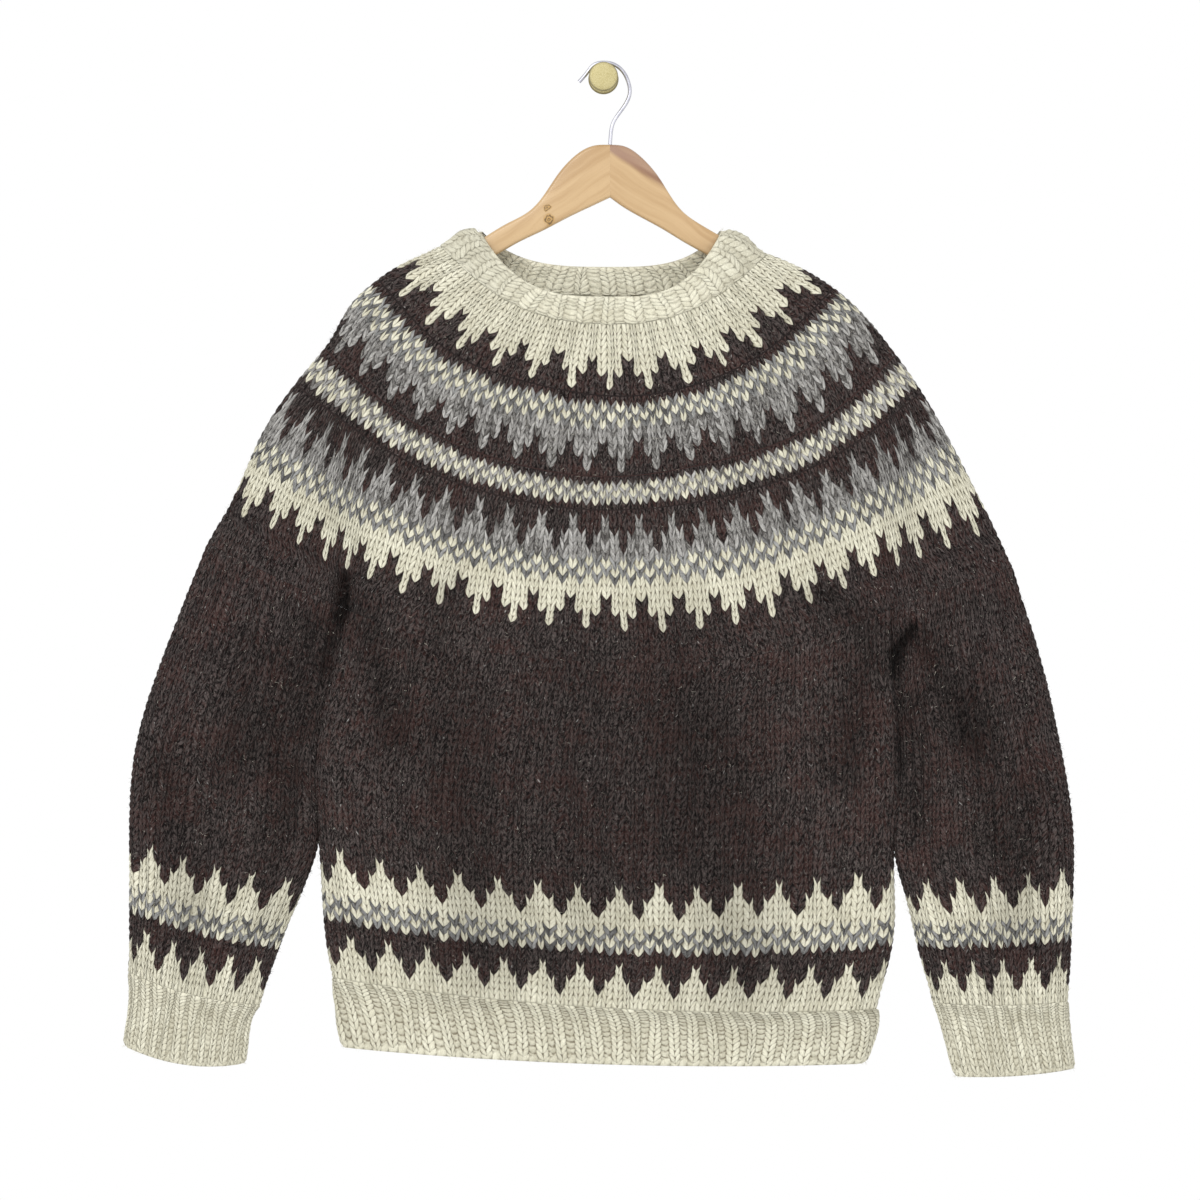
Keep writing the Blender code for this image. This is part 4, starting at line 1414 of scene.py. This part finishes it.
@dataclass
class Sweater:
    """The knitted garment, made of eight pieces worked in the round."""

    body_rows: int = 47
    sleeve_rows: int = 55
    hem_rows: int = 13
    cuff_rows: int = 15
    neck_rows: int = 7
    neck_stitches: int = 52
    body_stitches: int = 120
    hem_stitches: int = 116
    sleeve_stitches: int = 44
    take_up: float = 1.04
    yoke_area_share: float = 0.72
    wool: WoolFinish = WoolFinish("knitted_wool")

    # first row, last row, stitches, tip_x, tip_row
    YOKE_BANDS = ((0, 10, 104, 0.0, 9), (10, 21, 144, -22.2, 20), (21, 26, 180, 0.0, 24),
                  (26, 46, 196, -4.0, 40))
    BODY_TIP_X = 7.4
    # row of stitches, row of the tube's table
    BODY_MARKS = ((0, 0), (30, 0.648), (39, 0.838), (47, 1))
    SLEEVE_MARKS = ((0, 0), (38, 0.69), (47, 0.854), (55, 1))
    # side, tube, cuff, tip_x, seed
    SLEEVES = (("left", SLEEVE_LEFT, CUFF_LEFT, -360.2, 51), ("right", SLEEVE_RIGHT, CUFF_RIGHT, 352.7, 71))

    @staticmethod
    def crowd(x: np.ndarray) -> np.ndarray:
        """The lower yoke's stitches stand closer on the sleeves and in the underarm folds."""
        sleeves = 0.2 * ease((np.abs(x) - 190) / 80)
        folds = 0.45 * np.exp(-(((x + 246) / 22) ** 2)) + 0.5 * np.exp(-(((x - 268) / 16) ** 2))
        return 1 + sleeves + folds

    def tube(self, name: str, shape: TubeShape, rows: int, stitches: int, tip_x: float, marks: tuple,
             seed: int) -> KnitPiece:
        """Body or sleeve, in dark wool with the colour band at its lower end."""
        chart_row = rows - len(EDGE_CHART)
        band = Band(0, rows, stitches, EDGE_CHART, chart_row, tip_x, chart_row)
        return KnitPiece("knit_" + name, name, "dark_wool", shape, [band], row_reader(marks), seed=seed)

    def rib(self, name: str, table: tuple, rows: int, stitches: int, tip_x: float, seed: int,
            **looks: float) -> KnitPiece:
        """Hem rib or cuff, in cream wool with a bound-off edge."""
        band = Band(0, rows, stitches, (), 0, tip_x, 4, "W")
        return KnitPiece("knit_" + name, name, "cream_wool", TubeShape(table, start=SEAM), [band],
                         lambda row: row / rows, Stitch.RIB, free_bottom=True, seed=seed, **looks)

    def pieces(self) -> list[KnitPiece]:
        """The pieces with their stitches and charts."""
        bands = [Band(first, last, stitches, YOKE_CHART[first:last], first, tip_x, tip_row)
                 for first, last, stitches, tip_x, tip_row in self.YOKE_BANDS]
        made = [KnitPiece("knit_yoke", "yoke", "patterned_wool", YOKE_SHAPE, bands, lambda row: row, seed=11,
                          crowd=self.crowd, crowded=(3,))]
        band = Band(0, self.neck_rows, self.neck_stitches, (), 0, 0.0, 2, "W")
        made.append(KnitPiece("knit_neckband", "neckband", "cream_wool", NeckShape(), [band],
                              lambda row: 1 - row / self.neck_rows, Stitch.RIB, free_top=True,
                              fine_inside=True, seed=21, knit_share=0.62, deep=0.0))
        made.append(self.tube("body", TubeShape(BODY, top_on_yoke=True), self.body_rows, self.body_stitches,
                              self.BODY_TIP_X, self.BODY_MARKS, 31))
        made.append(self.rib("hem_rib", HEM_RIB, self.hem_rows, self.hem_stitches, 0.0, 41, lean=0.7,
                             knit_share=0.6, deep=1.0))
        for side, sleeve, cuff, tip_x, seed in self.SLEEVES:
            made.append(self.tube("sleeve_" + side, TubeShape(sleeve, top_on_yoke=True), self.sleeve_rows,
                                  self.sleeve_stitches, tip_x, self.SLEEVE_MARKS, seed))
            made.append(self.rib("cuff_" + side, cuff, self.cuff_rows, self.sleeve_stitches,
                                 (cuff[0][0] + cuff[0][2]) / 2, seed + 7, knit_share=0.66, deep=0.6))
        return made

    def build(self) -> None:
        """Knits and dresses every piece, and states its cut."""
        material = self.wool.make()
        pieces, things = self.pieces(), []
        for piece in pieces:
            thing = piece.build()
            dress(thing, material, piece.slot, piece.node)
            things.append(thing)
            log.info("%s: %d faces, girth %.3f m, height %.3f m", piece.name, len(thing.data.polygons),
                     piece.girth(), piece.height())
        Hairs().build(pieces)
        for piece, thing in zip(pieces, things):
            girth, height = piece.girth(), piece.height()
            on_hanger = piece.node == "yoke"


@dataclass
class Hanger:
    """The wooden hanger in two halves, and its steel hook."""

    thick: float = 12.0
    rounding: float = 3.2
    wire_radius: float = 1.8
    grain_slope: float = 34.0
    rim_angle: float = 60.0
    sharp: float = 35.0
    knots: tuple = ((-0.052, -0.1205, 0.003), (-0.0501, -0.1315, 0.0042))
    figure: tuple = (0.006, -0.0715, 0.6)

    def half(self, name: str, top: tuple, under: tuple) -> bpy.types.Object:
        """One half: its outline as a face, extruded to the board's thickness, with rounded edges.

        Args:
            name: The piece's name.
            top: Points of its upper outline, from the middle outwards.
            under: Points of its lower outline, from the middle outwards.

        Returns:
            The object.
        """
        outline = np.concatenate([smoothed(top, 5), smoothed(under, 5)[::-1]])
        mesh = bmesh.new()
        verts = [mesh.verts.new(((x + CENTRE_X) * MM, (PLANE_Y - self.thick / 2) * MM, -drop * MM))
                 for x, drop in outline]
        face = mesh.faces.new(verts)
        front = bmesh.ops.extrude_face_region(mesh, geom=[face])
        moved = [part for part in front["geom"] if isinstance(part, bmesh.types.BMVert)]
        bmesh.ops.translate(mesh, verts=moved, vec=(0, self.thick * MM, 0))
        bmesh.ops.remove_doubles(mesh, verts=mesh.verts, dist=MERGE)
        bmesh.ops.recalc_face_normals(mesh, faces=mesh.faces)
        rim = [edge for edge in mesh.edges if edge.calc_face_angle(0) > math.radians(self.rim_angle)
               and abs(edge.verts[0].co.y - edge.verts[1].co.y) < MERGE
               and max(abs(vert.co.x - CENTRE_X * MM) for vert in edge.verts) > MM]
        bmesh.ops.bevel(mesh, geom=rim, offset=self.rounding * MM, segments=4, profile=0.5, affect="EDGES",
                        material=-1)
        bmesh.ops.triangulate(mesh, faces=[face for face in mesh.faces if len(face.verts) > 4])
        return finish_mesh(name, mesh, self.sharp)

    def hook(self) -> bpy.types.Object:
        """The bent wire, as a tube along its line with round ends."""
        curve = bpy.data.curves.new("wire_hook", "CURVE")
        curve.dimensions, curve.bevel_depth = "3D", self.wire_radius * MM
        curve.bevel_resolution, curve.use_fill_caps = 5, True
        places = smoothed(HOOK, 10)
        line = curve.splines.new("POLY")
        line.points.add(len(places) - 1)
        for point, (x, z) in zip(line.points, places):
            point.co = (x * MM, PLANE_Y * MM, z * MM, 1)
        shape = put("wire_hook_line", curve)
        data = bpy.data.meshes.new_from_object(shape)
        bpy.data.objects.remove(shape)
        data.name = "wire_hook"
        data.shade_smooth()
        return put("wire_hook", data)

    def build(self) -> None:
        """Makes and dresses the hanger."""
        slope = math.radians(self.grain_slope)
        left = self.half("hanger_half_left", ARM_TOP_LEFT, ARM_UNDER_LEFT)
        dress(left, WoodFinish("wood_left", slope, knots=self.knots).make(), "pale_wood", "hanger_left")
        right = self.half("hanger_half_right", ARM_TOP_RIGHT, ARM_UNDER_RIGHT)
        dress(right, WoodFinish("wood_right", -slope, figure=self.figure).make(), "pale_wood", "hanger_right")
        dress(self.hook(), SteelFinish("drawn_steel").make(), "steel_wire", "hook_wire")
        log.info("hanger: two halves and a hook")


@dataclass
class WallKnob:
    """The knob that the hook hangs on."""

    neck: float = 11.0
    face: float = 13.4
    foot: float = 14.0
    out: float = 47.5
    steps: int = 64
    sharp: float = 50.0

    def build(self) -> None:
        """Turns the knob's profile round its axis and dresses it."""
        # radius, distance behind the face
        front = ((0, 0), (7, 0.1), (11, 0.4), (12.4, 1.0), (13.1, 2.2), (self.face, 4), (13.1, 6.2),
                 (12.2, 8.2), (self.neck, 9.6))
        profile = [(radius, self.out - behind) for radius, behind in front]
        profile += [(self.neck, 4.5), (11.9, 2.4), (self.foot, 0.8), (self.foot, 0), (0, 0)]
        mesh = bmesh.new()
        verts = [mesh.verts.new((radius * MM, -out * MM, 0)) for radius, out in profile]
        edges = [mesh.edges.new(pair) for pair in zip(verts, verts[1:])]
        bmesh.ops.spin(mesh, geom=verts + edges, cent=(0, 0, 0), axis=(0, 1, 0), angle=2 * math.pi,
                       steps=self.steps, use_merge=True)
        bmesh.ops.remove_doubles(mesh, verts=mesh.verts, dist=MERGE)
        bmesh.ops.recalc_face_normals(mesh, faces=mesh.faces)
        knob = finish_mesh("wall_knob_turned", mesh, self.sharp)
        dress(knob, BrassFinish("aged_brass").make(), "aged_brass", "wall_knob")
        log.info("wall knob")


@dataclass
class Studio:
    """Floor, light and camera, in metres."""

    distance: float = 8.0
    centre: tuple[float, float] = (-0.0032, -0.4812)
    floor_drop: float = 1.45
    floor_size: float = 1.6
    sensor: float = 36.0

    # name, place, size, power
    LAMPS = (("key", (-1.1, -2.4, 0.9), 1.6, 34), ("fill", (1.6, -2.2, -0.2), 2.0, 12))

    def build(self) -> None:
        """Sets up the studio."""
        mesh = bmesh.new()
        bmesh.ops.create_grid(mesh, x_segments=1, y_segments=1, size=self.floor_size,
                              matrix=Matrix.Translation((0, -0.3, -self.floor_drop)))
        floor = finish_mesh("floor", mesh)
        paint = Paint("floor_paint")
        grain = paint.noise(paint.spot(), 90.0, 3.0)
        colour = paint.mix(grain, linear(238, 238, 237), linear(230, 230, 229))
        floor.data.materials.append(paint.finish(colour, 0.8, grain, 0.0003))

        world = bpy.data.worlds.new("white_room")
        world.use_nodes = True
        world.node_tree.nodes["Background"].inputs["Color"].default_value = (1, 1, 1, 1)
        world.node_tree.nodes["Background"].inputs["Strength"].default_value = 1.0
        bpy.context.scene.world = world
        for name, place, size, power in self.LAMPS:
            data = bpy.data.lights.new(name, "AREA")
            data.size, data.energy = size, power
            lamp = put(name, data)
            lamp.location = place
            look = Vector((0, PLANE_Y * MM, -0.48)) - Vector(place)
            lamp.rotation_euler = look.to_track_quat("-Z", "Y").to_euler()

        data = bpy.data.cameras.new("camera")
        data.sensor_width = self.sensor
        data.lens = self.sensor * self.distance / (PHOTO_SIDE * PHOTO_MM * MM)
        camera = put("camera", data)
        camera.location = (self.centre[0], PLANE_Y * MM - self.distance, self.centre[1])
        camera.rotation_euler = (math.pi / 2, 0, 0)
        bpy.context.scene.camera = camera
        bpy.context.scene.view_settings.view_transform = "Standard"


def main() -> None:
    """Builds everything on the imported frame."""
    logging.basicConfig(level=logging.INFO, format="%(message)s")
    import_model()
    Hanger().build()
    WallKnob().build()
    Sweater().build()
    Studio().build()
    log.info("sizes kept")


if __name__ == "__main__":
    main()
